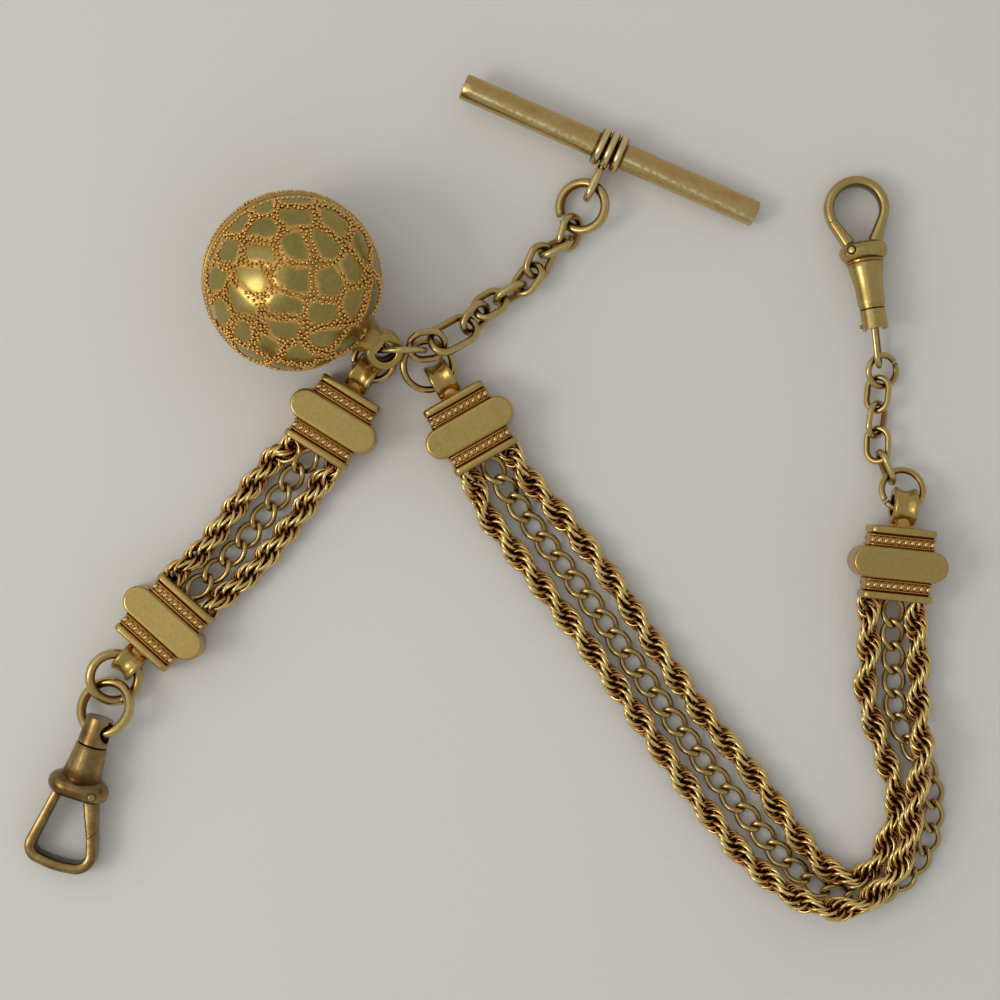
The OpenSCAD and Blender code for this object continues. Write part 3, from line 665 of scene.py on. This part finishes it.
def slide_panel(shape, place):
    """Raised oval panel through the body, so that it shows on both faces."""
    a, middle = long_round(PANEL_STRAIGHT, PANEL_STEPS)
    rings = []
    for z, inset, _ in PANEL_RIM:
        r = PANEL_R - inset
        rings.append(np.column_stack([middle + r * np.cos(a), r * np.sin(a), np.full(len(a), z)]))
    shape.rows(rings, tones_of(PANEL_RIM), place)


def bead(shape, place, spot, sizes, face):
    """One slanting bead on the upper or lower face of a slide."""
    wide, long, tall = sizes
    u = full_turn(BEAD_SIDES)
    rings = np.array([np.column_stack([wide * q * np.cos(u), long * q * np.sin(u),
                                       np.full(BEAD_SIDES, face * h * tall)]) for q, h, _ in BEAD_RINGS])
    rings = rings @ turn("z", BEAD_SLANT * face).T + spot
    tones = tones_of(BEAD_RINGS)
    if face > 0:
        rings, tones = rings[::-1], tones[::-1]
    shape.rows(rings, tones, place)


def slide_beads(shape, place):
    """Four rows of beads, two on each face, a tall one and a small one by turns."""
    for face in (1, -1):
        for side in (-1, 1):
            for k, x in enumerate(np.linspace(-BEAD_ROW_X, BEAD_ROW_X, 2 * BEADS - 1)):
                small = k % 2 == 1
                y = side * (BEAD_ROW_Y - (SMALL_BEAD_INSET if small else 0))
                spot = np.array([x, y, face * BEAD_BASE_Z])
                bead(shape, place, spot, SMALL_BEAD if small else TALL_BEAD, face)


def strap_slide(name, node, at, head, roll, reach, bail_d):
    """A slide with its neck and bail."""
    place = (turn("z", head) @ turn("y", roll), np.array(at, float))
    shape = Shape()
    slide_body(shape, place)
    slide_panel(shape, place)
    slide_beads(shape, place)
    # Neck between the body and the bail: y, half width, half thickness and corner radius
    neck = [(3.45, 1.55, 1.35, 0.6), (3.65, 1.35, 1.25, 0.6), (3.85, 1.05, 1.1, 0.6),
            (reach - 1.35, 0.85, 0.95, 0.6), (reach - 1.0, 0.9, 1.0, 0.6)]
    shape.rows(soft_rows(neck), [0.8, 0.6, 0.4, 0.3, 0.3], place)
    spool(shape, shifted(place, [0, reach, 0]), bail_d)
    shape.make(name, "slide_gold", "chain", node, crisp=50)


for key, sizes in SLIDES.items():
    strap, end = key.split("_")
    strap_slide(f"slide_{key}", f"{strap}_slide_{end}", *sizes)


# Links and rings

def link(name, node, rings, place, closed=True):
    """A link or ring of the chain, in worn gold."""
    shape = Shape()
    shape.rows(rings, wire_shade_and_highlight(), place, closed=closed)
    shape.make(name, "link_gold", "chain", node)


# Small oval links in a row, each with its outer length and width and its wire's diameter, and
# rows of x, y, z, heading, tilt and roll
BAR_LINK = (4, 3, 0.75)
BAR_LINKS = [
    (6.95, 26.65, 1.25, 253, -3, -45), (5.5, 25.2, 1.45, 207, 0, 67), (3.9, 23.75, 1.5, 246, -1, -24),
    (2.8, 22, 1.55, 234, 1, 32), (1.05, 20.55, 1.55, 209, 2, -69), (-1, 19.45, 1.85, 211, 7, 16),
    (-2.45, 18.05, 2.25, 228, 15, -44)]
END_LINK = (3.95, 2.85, 0.62)
END_LINKS = [
    (37.6, 10.55, 1.35, 264, 0, 30), (37.5, 8, 1.3, 262, 0, -44), (37.6, 5.5, 1.2, 269, 0, 26),
    (38.4, 3.25, 1.45, 293, -4, 82)]

# Larger oval links: piece, node, length, width and wire, place, then heading, tilt and roll
OVAL_LINKS = [
    ("link_bar_8", "bar_link_8", (5.7, 3.5, 0.75), [-4.6, 16.35, 3.25], (210, 19, 18)),
    ("link_junction", "junction_link", (4.25, 3.5, 0.68), [-7.2, 15.25, 3.95], (188, 10, -23)),
    ("link_ball", "ball_link", (6.1, 5.2, 0.62), [-9.7, 14.8, 3.7], (270, 88, 0)),
    ("link_clip_bail", "long_clip_bail", (5.3, 2.75, 0.58), [37.4, 15.65, 2.05], (277, -5, -77))]

# Jump rings: piece, node, middle and wire diameters with the slit's place and width in degrees,
# place, then heading and tilt
JUMP_RINGS = [
    ("ring_bar", "t_bar_ring", (4.75, 0.95, 305, 14), [8.2, 29.2, 1.58], (-98, 20)),
    ("ring_long_strap", "long_strap_ring", (4.9, 0.7, 300, 6), [-7.15, 13.35, 2.4], (30, 13)),
    ("ring_short_strap", "short_strap_ring", (4, 0.7, 200, 6), [-12.5, 13.9, 2.05], (-10, 12)),
    ("ring_long_end", "long_end_ring", (4.1, 0.65, 40, 6), [39.95, 1, 2.1], (174, 16)),
    ("ring_end_jump", "end_jump_ring", (3.1, 0.62, 317, 10), [38.05, 12.85, 1.45], (75, 23)),
    ("ring_short_end_1", "short_end_ring_1", (4.8, 1, 250, 6), [-38.3, -17.6, 2.1], (43, 15)),
    ("ring_short_end_2", "short_end_ring_2", (5.3, 1, 20, 6), [-39.15, -20.6, 2.3], (225, 27))]

for run, size, rows in (("bar", BAR_LINK, BAR_LINKS), ("end", END_LINK, END_LINKS)):
    for i, (x, y, z, head, up, roll) in enumerate(rows, 1):
        link(f"link_{run}_{i}", f"{run}_link_{i}", oval_rings(*size), lay([x, y, z], head, up, roll))
for name, node, size, at, turns in OVAL_LINKS:
    link(name, node, oval_rings(*size), lay(at, *turns))
for name, node, size, at, turns in JUMP_RINGS:
    link(name, node, slit_rings(*size), lean(at, *turns), closed=False)


# Toggle bar

BAR_LENGTH = 31.7
BAR_D = 2.64
BAR_SIDES = 72
BAR_STEPS = 150

# Three wire rings round the bar's middle, each a little looser or tighter, and the eye on them
COIL_WIRE = 0.9
COIL_MID_D = BAR_D + 0.46
COIL_PITCH = COIL_WIRE + 0.1
COIL_WAVE = 0.06
COIL_STEPS = 48
COIL_FITS = (1.0, 1.02, 0.99)
EYE_LINK = (4.2, 3, 0.8)

# The bar's middle lies on the coils and its far end on the table
BAR_Z = COIL_WIRE / 2 + BAR_D / 2 + 0.28
BAR_TILT = -math.degrees(math.asin((BAR_Z - BAR_D / 2) / (BAR_LENGTH / 2)))
BAR_PLACE = lay([10.9, 34.72, BAR_Z], -23.4, BAR_TILT)
EYE_PLACE = lay([9.35, 31.5, 1.9], 245, 0, 90)

# The bar's painted light, in degrees round it: the upper flank warmed as painted shade, and the painted
# highlight line's start, drift and width. Then half the length of the middle darkened by painted shade
SHADED_FLANK = (5, 95)
HIGHLIGHT_AT = 104
HIGHLIGHT_DRIFT = 17
HIGHLIGHT_WIDTH = 6
SHADED_HALF = 1.6


def noise_over(rings, scale):
    """Smooth noise at every point of the rings, with one scale or a scale for each axis."""
    return np.array([[noise.noise(Vector(p * scale)) for p in ring] for ring in rings])


def bar_tones(rings):
    """Mottled gold with painted shade warming its upper flank, and a broken painted highlight line
    that drifts down the lower flank of each half. Painted shade darkens the middle under the wire rings."""
    half = BAR_LENGTH / 2
    x = rings[:, :, 0]
    angle = np.degrees(full_turn(BAR_SIDES))[None]
    tones = 0.15 + 0.45 * noise_over(rings, np.array([0.5, 1.5, 1.5]))
    # Painted shade warms the upper flank
    tones += 0.45 * np.clip((SHADED_FLANK[1] - angle) / 20, 0, 1) * (angle > SHADED_FLANK[0])
    breaks = noise_over(rings, np.array([2.6, 3.5, 3.5]))
    # A broken painted highlight line drifts down the lower flank
    line = HIGHLIGHT_AT + HIGHLIGHT_DRIFT * ((x + half) % half) / half
    near_highlight = np.clip(1.6 - np.abs(angle - line) / HIGHLIGHT_WIDTH, 0, 1)
    painted_highlight = near_highlight * np.clip(0.7 + 2.4 * breaks, 0, 1)
    tones = tones * (1 - painted_highlight) - painted_highlight
    # Painted shade darkens the middle under the wire rings
    tones[np.abs(rings[:, 0, 0]) < SHADED_HALF] = 1.8
    return tones


def toggle_bar():
    r, h = BAR_D / 2, BAR_LENGTH / 2
    shape = Shape()
    end = [(h, 0.9), (h, r - 0.16), (h - 0.05, r - 0.06), (h - 0.16, r)]
    middle = [(x, r) for x in np.linspace(-h + 1, h - 1, BAR_STEPS)]
    rings = lathe([(-x, q) for x, q in end] + middle + end[::-1], BAR_SIDES, "x")
    # Small dents everywhere but at the two ends
    dented = rings[len(end):-len(end)]
    dents = noise_over(dented, 0.55) + 0.5 * noise_over(dented, 1.7)
    dented[:, :, 1:] *= 1 + 0.006 * dents[:, :, None]
    shape.rows(rings, bar_tones(rings), BAR_PLACE)

    a = full_turn(COIL_STEPS)
    out = np.column_stack([0 * a, np.cos(a), np.sin(a)])
    section = full_turn(WIRE_SIDES)
    # Painted shade on the wires' sides where they press together, and a painted highlight on their crests
    shade = np.where(np.abs(np.sin(section)) > 0.7, 1.8, 0.1 - 0.7 * np.clip(np.cos(section), 0, 1))
    for i, fit in enumerate(COIL_FITS):
        mid = out * COIL_MID_D / 2 * fit
        mid[:, 0] = (i - 1) * COIL_PITCH + COIL_WAVE * np.cos(a + i)
        coil = wire(mid, out, np.tile([1.0, 0, 0], (COIL_STEPS, 1)), COIL_WIRE / 2)
        shape.rows(coil, shade[None], BAR_PLACE, closed=True)
    shape.rows(oval_rings(*EYE_LINK), wire_shade_and_highlight(), EYE_PLACE, closed=True)
    shape.make("toggle_bar", "bar_gold", "chain", "t_bar", crisp=40)


toggle_bar()


# Ball fob

BALL_R = 8.65
BALL_AT = np.array([-20.2, 21.3, BALL_R])
BALL_PLACE = lay(BALL_AT, -36.3, -20, 8)
SEAM_WAY = BALL_PLACE[0] @ np.array([0, 0, 1.0])
BAIL_WAY = BALL_PLACE[0] @ np.array([1.0, 0, 0])

# Middles of the smooth patches between the granulated lines, seen from above: x and y as shares
# of the ball's radius
PATCHES = [
    (0.03, 0.88), (0.08, 0.66), (0.52, 0.6), (-0.26, 0.52), (-0.55, 0.62), (-0.28, 0.24),
    (0.13, 0.3), (0.42, 0.34), (-0.66, 0.29), (-0.78, 0.0), (-0.4, -0.04), (0.1, -0.07),
    (0.5, -0.08), (0.72, 0.06), (-0.54, -0.27), (-0.73, -0.39), (0.0, -0.35), (0.42, -0.43),
    (-0.05, -0.58), (0.38, -0.67), (-0.24, -0.74), (0.8, 0.34), (0.74, -0.22), (-0.3, 0.8),
    (-0.86, 0.3), (-0.5, -0.62), (0.12, -0.86)]

# Below this height, as a share of the radius, patches are filled in at least this angle apart
FILL_BELOW = 0.3
FILL_APART = 0.37
FILL_TRIES = 400

# Shell: its rings, the points of a ring, and how far it sinks at a line
SHELL_RINGS = 90
SHELL_SIDES = 180
LINE_SINK = 0.08

# The seam's two ridges: how far each is from the seam, how deep it sits and its wire's radius
RIM_OFFSET = 0.13
RIM_DEPTH = 0.02
RIM_WIRE_R = 0.12
RIM_STEPS = 140
RIM_SIDES = 8

# Neck: height above the shell, radius and tone. Then the bail's height above the shell and its
# diameter
BALL_NECK = [(-0.55, 2.9, 0.8), (-0.2, 2.35, 0.5), (0.2, 2.0, 0.3), (0.8, 1.7, 0.2), (1.5, 1.45, 0.1),
             (2.2, 1.35, 0.3)]
NECK_SIDES = 40
BAIL_LIFT = 2.9
BALL_BAIL_D = 3.7

# Granules: directions tried, spacing, mean radius and how much it varies, and a granule's rings as
# share of its radius, height above the shell and tone
GRAIN_TRIES = 60000
GRAIN_APART = 0.335
GRAIN_R = 0.18
GRAIN_VARIES = 0.06
GRAIN_SIDES = 7
# A granule's foot gets brown painted shade
GRAIN_RINGS = [(0.3, 0.18, 0.75), (0.72, 0.14, 0.85), (0.95, 0.06, 1.2), (1.0, -0.05, 1.9)]

# Places on the ball as shares of its radius: the row beside the seam, where the lines stop before
# it, the neck and the spot that the ball rests on
SEAM_ROW = 0.155
SEAM_ROW_HALF = 0.012
LINES_STOP = 0.20
NECK_FROM = 0.94
REST_BELOW = -0.965


def ball_seeds():
    """Middles of the patches: those seen, their mirror images across the seam, and more that fill
    the ball's lower part, which the photograph doesn't show."""
    front = unit(np.array([[x, y, math.sqrt(max(1 - x * x - y * y, 0.02))] for x, y in PATCHES]))
    back = front - 2 * (front @ SEAM_WAY)[:, None] * SEAM_WAY
    seeds = np.concatenate([front, back])
    k = np.arange(FILL_TRIES) + 0.5
    height, way = 1 - 2 * k / FILL_TRIES, k * math.pi * (3 - math.sqrt(5))
    wide = np.sqrt(1 - height ** 2)
    for d in np.column_stack([wide * np.cos(way), wide * np.sin(way), height]):
        if d[2] < FILL_BELOW and (seeds @ d).max() < math.cos(FILL_APART):
            seeds = np.concatenate([seeds, [d]])
    return seeds


def line_gap(directions, seeds):
    """How far each direction on the ball is from the nearest line between two patches, in mm."""
    wobble = np.array([[noise.noise(Vector(d * 5 + k)) for k in (0, 7, 13)] for d in directions])
    d = unit(directions + 0.05 * wobble)
    cosines = np.sort(np.clip(d @ seeds.T, -1, 1), axis=1)
    near, second = np.arccos(cosines[:, -1]), np.arccos(cosines[:, -2])
    return (second - near) / 2 * BALL_R


def thin_out(spots, apart):
    """Keeps each spot that is no nearer than apart to one kept before it."""
    cells, kept = {}, []
    for p in spots:
        home = tuple(np.floor(p / apart).astype(int))
        near = [q for x, y, z in np.ndindex(3, 3, 3)
                for q in cells.get((home[0] + x - 1, home[1] + y - 1, home[2] + z - 1), ())]
        if all((p - q) @ (p - q) > apart * apart for q in near):
            cells.setdefault(home, []).append(p)
            kept.append(p)
    return np.array(kept)


def ball_shell(shape, seeds):
    """Shell with its poles on the seam's axis, sunk and warm along the lines, with brown painted shade at
    their middles.
    """
    a = full_turn(SHELL_SIDES)
    rings = [np.column_stack([np.cos(q) * np.cos(a), np.cos(q) * np.sin(a), np.full(SHELL_SIDES, np.sin(q))])
             for q in arc_angles(-89.5, 89.5, SHELL_RINGS)]
    local = np.array(rings).reshape(-1, 3)
    gap = line_gap(local @ BALL_PLACE[0].T, seeds)
    height = BALL_R - LINE_SINK * np.clip(1.3 - gap / 0.4, 0, 1)
    # Painted shade: warm along the lines and brown at their middles, between the granules
    tone = np.clip(1.75 - gap / 0.3, 0, 1.5)
    start = shape.count
    shape.add(local * height[:, None], grid(SHELL_RINGS, SHELL_SIDES), tone, BALL_PLACE)
    # One flat face closes the small hole at each pole
    lower = [start + k for k in range(SHELL_SIDES)]
    upper = [start + (SHELL_RINGS - 1) * SHELL_SIDES + k for k in range(SHELL_SIDES)]
    shape.faces += [lower[::-1], upper]


def ball_rim(shape):
    """Rim of the seam: two thin ridges."""
    a = full_turn(RIM_STEPS)
    out = np.column_stack([np.cos(a), np.sin(a), 0 * a])
    up = np.tile([0, 0, 1.0], (RIM_STEPS, 1))
    for z in (-RIM_OFFSET, RIM_OFFSET):
        mid = out * (BALL_R - RIM_DEPTH) + np.array([0, 0, z])
        shape.rows(wire(mid, out, up, RIM_WIRE_R, RIM_SIDES), 0.25, BALL_PLACE, closed=True)


def granule_spots(seeds):
    """Directions of the granules: uneven rows along the lines, and a row on each side of the seam."""
    dice = np.random.default_rng(11)
    spots = unit(dice.normal(size=(GRAIN_TRIES, 3)))
    gap = line_gap(spots, seeds)
    from_seam = np.abs(spots @ SEAM_WAY)
    broken = np.array([noise.noise(Vector(d * 3.1 + 4)) for d in spots])
    on_line = (gap < 0.36 + 0.16 * broken) & (from_seam > LINES_STOP) & (broken > -0.45)
    in_row = np.abs(from_seam - SEAM_ROW) < SEAM_ROW_HALF
    keep = (on_line | in_row) & (spots @ BAIL_WAY < NECK_FROM) & (spots[:, 2] > REST_BELOW)
    return thin_out(spots[keep], GRAIN_APART / BALL_R)


def ball_granules(shape, seeds):
    """Little grains of uneven size, warm on top and darkened with painted shade at the foot."""
    u = full_turn(GRAIN_SIDES)
    for d in granule_spots(seeds):
        side = unit(np.cross(d, [0.3, 0.2, 0.9]))
        up = np.cross(d, side)
        around = np.cos(u)[:, None] * side + np.sin(u)[:, None] * up
        size = GRAIN_R + GRAIN_VARIES * noise.noise(Vector(d * 60))
        rings = [d * (BALL_R + lift) + size * share * around for share, lift, _ in GRAIN_RINGS]
        shape.rows(np.array(rings) + BALL_AT, tones_of(GRAIN_RINGS))


def ball_fob():
    shape = Shape()
    seeds = ball_seeds()
    ball_shell(shape, seeds)
    ball_rim(shape)
    ball_granules(shape, seeds)
    neck = lathe([(BALL_R + lift, r) for lift, r, _ in BALL_NECK], NECK_SIDES, "x")
    shape.rows(neck, tones_of(BALL_NECK), BALL_PLACE)
    bail = (BALL_PLACE[0] @ turn("y", 90), BALL_PLACE[1] + BAIL_WAY * (BALL_R + BAIL_LIFT))
    spool(shape, bail, BALL_BAIL_D)
    shape.make("ball", "ball_gold", "chain", "ball_fob", crisp=60)


ball_fob()


# Clips

RIVET_R = 0.36
PIN_SIDES = 20
CAP_SIDES = 24

# Domed end of a rivet: height above the surface, radius and tone, with a painted highlight on the dome
RIVET_CAP = [(-0.15, RIVET_R, 1), (0.02, RIVET_R, 0.2), (0.07, 0.3, -0.3), (0.1, 0.16, -0.3),
             (0.11, 0.03, -0.3)]

# Groove round it: height above the surface and radius
RIVET_GROOVE = [(-0.1, 0.5), (0.015, 0.48), (0.012, RIVET_R)]

# How much shorter a rivet is on the underside, so that it clears the table
RIVET_CLEAR = 0.06


def collar_rows(w, h, thick):
    """Round-edged collar, from its full width, height and thickness."""
    rows = []
    for a in arc_angles(-90, 90, 17):
        inset = thick / 2 * (1 - math.cos(a))
        rows.append((thick / 2 * math.sin(a), w / 2 - inset, h / 2 - inset, h / 2 - inset))
    return soft_rows(rows)


def between(a, b, n):
    """Points of a straight line, with both ends."""
    return np.array(a) + (np.array(b) - np.array(a)) * np.linspace(0, 1, n)[:, None]


def arc(centre, r, start, stop, n):
    """Points of an arc, from one angle in degrees to another."""
    return np.array(centre) + r * on_circle(arc_angles(start, stop, n))


def rivet(kind, slot, holder, place, at, z, lean_deg, groove_tone):
    """Rivet with two low round ends at the heights z and -z, each leaning by an angle and set in a
    thin groove in the holder's surface."""
    pin = Shape()
    x, y = at
    pin.rows(lathe([(-z + 0.1, RIVET_R), (z - 0.1, RIVET_R)], PIN_SIDES, "z") + [x, y, 0], 0.5, place)
    cap = lathe([(lift, r) for lift, r, _ in RIVET_CAP], CAP_SIDES, "z")
    groove = lathe(RIVET_GROOVE, CAP_SIDES, "z")
    for end_z, tip_deg in ((z, lean_deg), (RIVET_CLEAR - z, 180 - lean_deg)):
        spot = (place[0] @ turn("y", tip_deg), shifted(place, [x, y, end_z])[1])
        pin.rows(cap, tones_of(RIVET_CAP), spot)
        holder.rows(groove, groove_tone, spot)
    pin.make(f"rivet_{kind}", slot, f"{kind}_clip", f"{kind}_clip_rivet", crisp=50)


def clip(kind, slot, place, power, hook, hook_t, collar, collar_tone, profile, gate, gate_t, **pin):
    """Turned body with hook, collar and rivet, and the gate. The hook and the gate are each given by
    an outer and an inner curve, a thickness and the power of their section."""
    shape = Shape()
    shape.rows(ladder(*hook, hook_t / 2, power), shaded_inside(), place)
    shape.rows(collar_rows(*collar), collar_tone, place)
    shape.rows(lathe([(y, r) for y, r, _ in profile]), tones_of(profile), place)
    rivet(kind, slot, shape, place, **pin)
    shape.make(f"clip_{kind}_body", slot, f"{kind}_clip", f"{kind}_clip_hook", crisp=45)
    shape = Shape()
    shape.rows(ladder(*gate, gate_t / 2, power), 0.1, place)
    shape.make(f"clip_{kind}_gate", slot, f"{kind}_gate", f"{kind}_clip_gate", crisp=45)


# Long clip: the collar's width, height and thickness. The hook is a pear, wide at its far end
LONG_COLLAR = (4.8, 3.7, 2)
LONG_PLACE = lean([36.1, 24.65, LONG_COLLAR[1] / 2], 188.3, 6)
LONG_HOOK_Y = -4.4

# Turned body: y from the collar's middle, radius and tone
LONG_BODY = [
    (0.7, 1.5, 0.9), (0.95, 1.9, 0.8), (1.12, 1.87, 0.9), (1.2, 1.72, 1), (1.3, 1.76, 0.5),
    (1.7, 1.74, 0.2), (2.4, 1.6, 0.1), (3.0, 1.48, 0.1), (3.7, 1.4, 0.1), (4.4, 1.38, 0.1),
    (5.0, 1.36, 0.1), (5.35, 1.33, 0.2), (5.5, 1.27, 0.6), (5.8, 1.26, 0.4), (5.85, 1.1, 0.8)]


def pear_side(r_wide, r_narrow, wide_y, narrow_y, stop=None):
    """One curve of the hook: down the left side and round the wide end to the angle stop in degrees
    past the right, or else to where the right side starts."""
    lean_deg = math.degrees(math.asin((r_wide - r_narrow) / (narrow_y - wide_y)))
    c, s = cos_sin(lean_deg)
    low = (-r_wide * c, wide_y + r_wide * s)
    high = (-r_narrow * c, narrow_y + r_narrow * s)
    stop = lean_deg if stop is None else stop
    return np.concatenate([between(high, low, 12),
                           arc((0, wide_y), r_wide, 180 - lean_deg, 360 + stop, 52)[1:]])


def long_clip():
    hook = (pear_side(3.25, 1.9, LONG_HOOK_Y, -1.0), pear_side(2.25, 0.75, LONG_HOOK_Y, -1.5, stop=12))
    # The gate's slanting tip lies against the hook's end
    gate = (np.concatenate([[(2.98, -3.02)], between((2.93, -2.93), (1.95, -0.7), 10)]),
            np.concatenate([[(2.2, -3.78)], between((1.92, -3.2), (0.75, -1.25), 10)]))
    # The long clip's rivet groove is filled with brown painted shade
    clip("long", "clip_gold", LONG_PLACE, power=3.2, hook=hook, hook_t=2.1, collar=LONG_COLLAR,
         collar_tone=0.1, profile=LONG_BODY, gate=gate, gate_t=1.96, at=(1.35, -0.1), z=1.67,
         lean_deg=25.6, groove_tone=2.0)


# Short clip: the hook is a stirrup with two round corners, each given by x, y and radius
SHORT_COLLAR = (6.2, 4.3, 2.3)
SHORT_PLACE = lean([-41.85, -28.45, SHORT_COLLAR[1] / 2], -18.5, 6.5)
SHORT_LEFT_CORNER = (-1.55, -6.7, 1.8)
SHORT_RIGHT_CORNER = (1.8, -6.35, 2.15)
SHORT_HOOK_W = 1.12
SHORT_BULGE = 0.16
GATE_GAP = 0.07

# Turned body: y from the collar's middle, radius and tone, with painted shade where it meets the collar
SHORT_BODY = [
    (0.5, 2.0, 1.8), (0.95, 2.12, 1.6), (1.2, 2.1, 1.4), (1.5, 1.97, 0.7), (2.2, 1.84, 0.1),
    (3.2, 1.72, 0.1), (4.1, 1.6, 0.1), (4.42, 1.55, 0.3), (4.5, 1.4, 0.8)]


def touch_angle(p, corner, r, side):
    """Angle in degrees at which a straight line from p touches a circle, on one side or the other."""
    dx, dy = p[0] - corner[0], p[1] - corner[1]
    return math.degrees(math.atan2(dy, dx) + side * math.acos(r / math.hypot(dx, dy)))


def stirrup_side(top_left, top_right, shrink, share):
    """One curve of the hook: down the left, round both corners and a share of the way up the right.
    Gives the curve and its end."""
    left_r, right_r = SHORT_LEFT_CORNER[2] - shrink, SHORT_RIGHT_CORNER[2] - shrink
    from_left = touch_angle(top_left, SHORT_LEFT_CORNER, left_r, 1) % 360
    to_right = touch_angle(top_right, SHORT_RIGHT_CORNER, right_r, -1)
    first = arc(SHORT_LEFT_CORNER[:2], left_r, from_left, 270, 22)
    second = arc(SHORT_RIGHT_CORNER[:2], right_r, -90, to_right, 26)
    end = second[-1] + (np.array(top_right) - second[-1]) * share
    bottom = between(first[-1], second[0], 12)[1:-1]
    bottom[:, 1] -= SHORT_BULGE * np.sin(np.linspace(0, np.pi, 12))[1:-1]
    return np.concatenate([between(top_left, first[0], 16)[:-1], first, bottom, second,
                           between(second[-1], end, 8)[1:]]), end


def short_clip():
    outer_top, inner_top = np.array([2.35, -0.5]), np.array([1.2, -0.9])
    outer, outer_end = stirrup_side((-2.2, -0.5), outer_top, 0, 0.42)
    inner, inner_end = stirrup_side((-1.3, -0.9), inner_top, SHORT_HOOK_W, 0.25)
    # The gate runs from a small gap past the hook's end to its root under the collar
    gate = (between(outer_end + unit(outer_top - outer_end) * GATE_GAP,
                    outer_top + (outer_end - outer_top) * 0.02, 10),
            between(inner_end + unit(inner_top - inner_end) * GATE_GAP, np.array([0.85, -0.95]), 10))
    clip("short", "bronze_clip", SHORT_PLACE, power=5, hook=(outer, inner), hook_t=2.3,
         collar=SHORT_COLLAR, collar_tone=0.2, profile=SHORT_BODY, gate=gate, gate_t=2.14,
         at=(1.75, -0.2), z=2.0, lean_deg=21.8, groove_tone=0.5)


long_clip()
short_clip()

# The swivel heads keep their CAD shape and get the clips' golds
for node, slot in (("long_clip_head", "clip_gold"), ("short_clip_head", "bronze_clip")):
    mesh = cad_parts[node].data
    mesh.materials.clear()
    mesh.materials.append(GOLDS[slot])


# Table, lights and camera, in metres

TABLE_HALF = 1.0
TABLE_Z = -0.0001


def table():
    """Pale table just under the chain, with faint clouds."""
    look = Look("table")
    cloud = look.noise(scale=22.0, detail=2.0)
    colour = look.mix((0.745, 0.728, 0.68, 1), (0.775, 0.753, 0.705, 1), cloud)
    look.feed(look.shader, {"Base Color": colour, "Roughness": 0.55})
    mesh = bpy.data.meshes.new("floor")
    corners = [(x * TABLE_HALF, y * TABLE_HALF, TABLE_Z) for x, y in ((-1, -1), (1, -1), (1, 1), (-1, 1))]
    mesh.from_pydata(corners, [], [(0, 1, 2, 3)])
    mesh.materials.append(look.material)
    floor = in_scene("floor", mesh)


def area_light(name, at, size, power, colour):
    """Square light that faces the middle of the chain."""
    light = bpy.data.lights.new(name, "AREA")
    light.shape = "SQUARE"
    light.size = size
    light.energy = power
    light.color = colour
    lamp = in_scene(name, light)
    lamp.location = at
    lamp.rotation_euler = (-Vector(at)).to_track_quat("-Z", "Y").to_euler()


def surroundings(colour, strength):
    """Even light from all round."""
    world = bpy.data.worlds.new("studio")
    world.use_nodes = True
    background = world.node_tree.nodes["Background"].inputs
    background["Color"].default_value = colour
    background["Strength"].default_value = strength
    bpy.context.scene.world = world
    bpy.context.scene.view_settings.view_transform = "Standard"


def photo_camera(height, lens, sensor):
    """Camera that looks straight down on the middle of the photograph."""
    camera = bpy.data.cameras.new("camera")
    camera.lens, camera.sensor_width = lens, sensor
    camera.clip_start, camera.clip_end = 0.01, 5
    eye = in_scene("camera", camera)
    eye.location = (-PLAN_MIDDLE[0] * MM, -PLAN_MIDDLE[1] * MM, height)
    bpy.context.scene.camera = eye


table()
area_light("key", at=(-0.34, -0.08, 0.33), size=0.18, power=0.43, colour=(1.0, 0.97, 0.92))
area_light("fill", at=(-0.38, 0.05, 0.48), size=0.8, power=0.82, colour=(1.0, 0.98, 0.95))
surroundings(colour=(0.86, 0.87, 0.88, 1), strength=0.54)
photo_camera(height=0.300, lens=108, sensor=36)
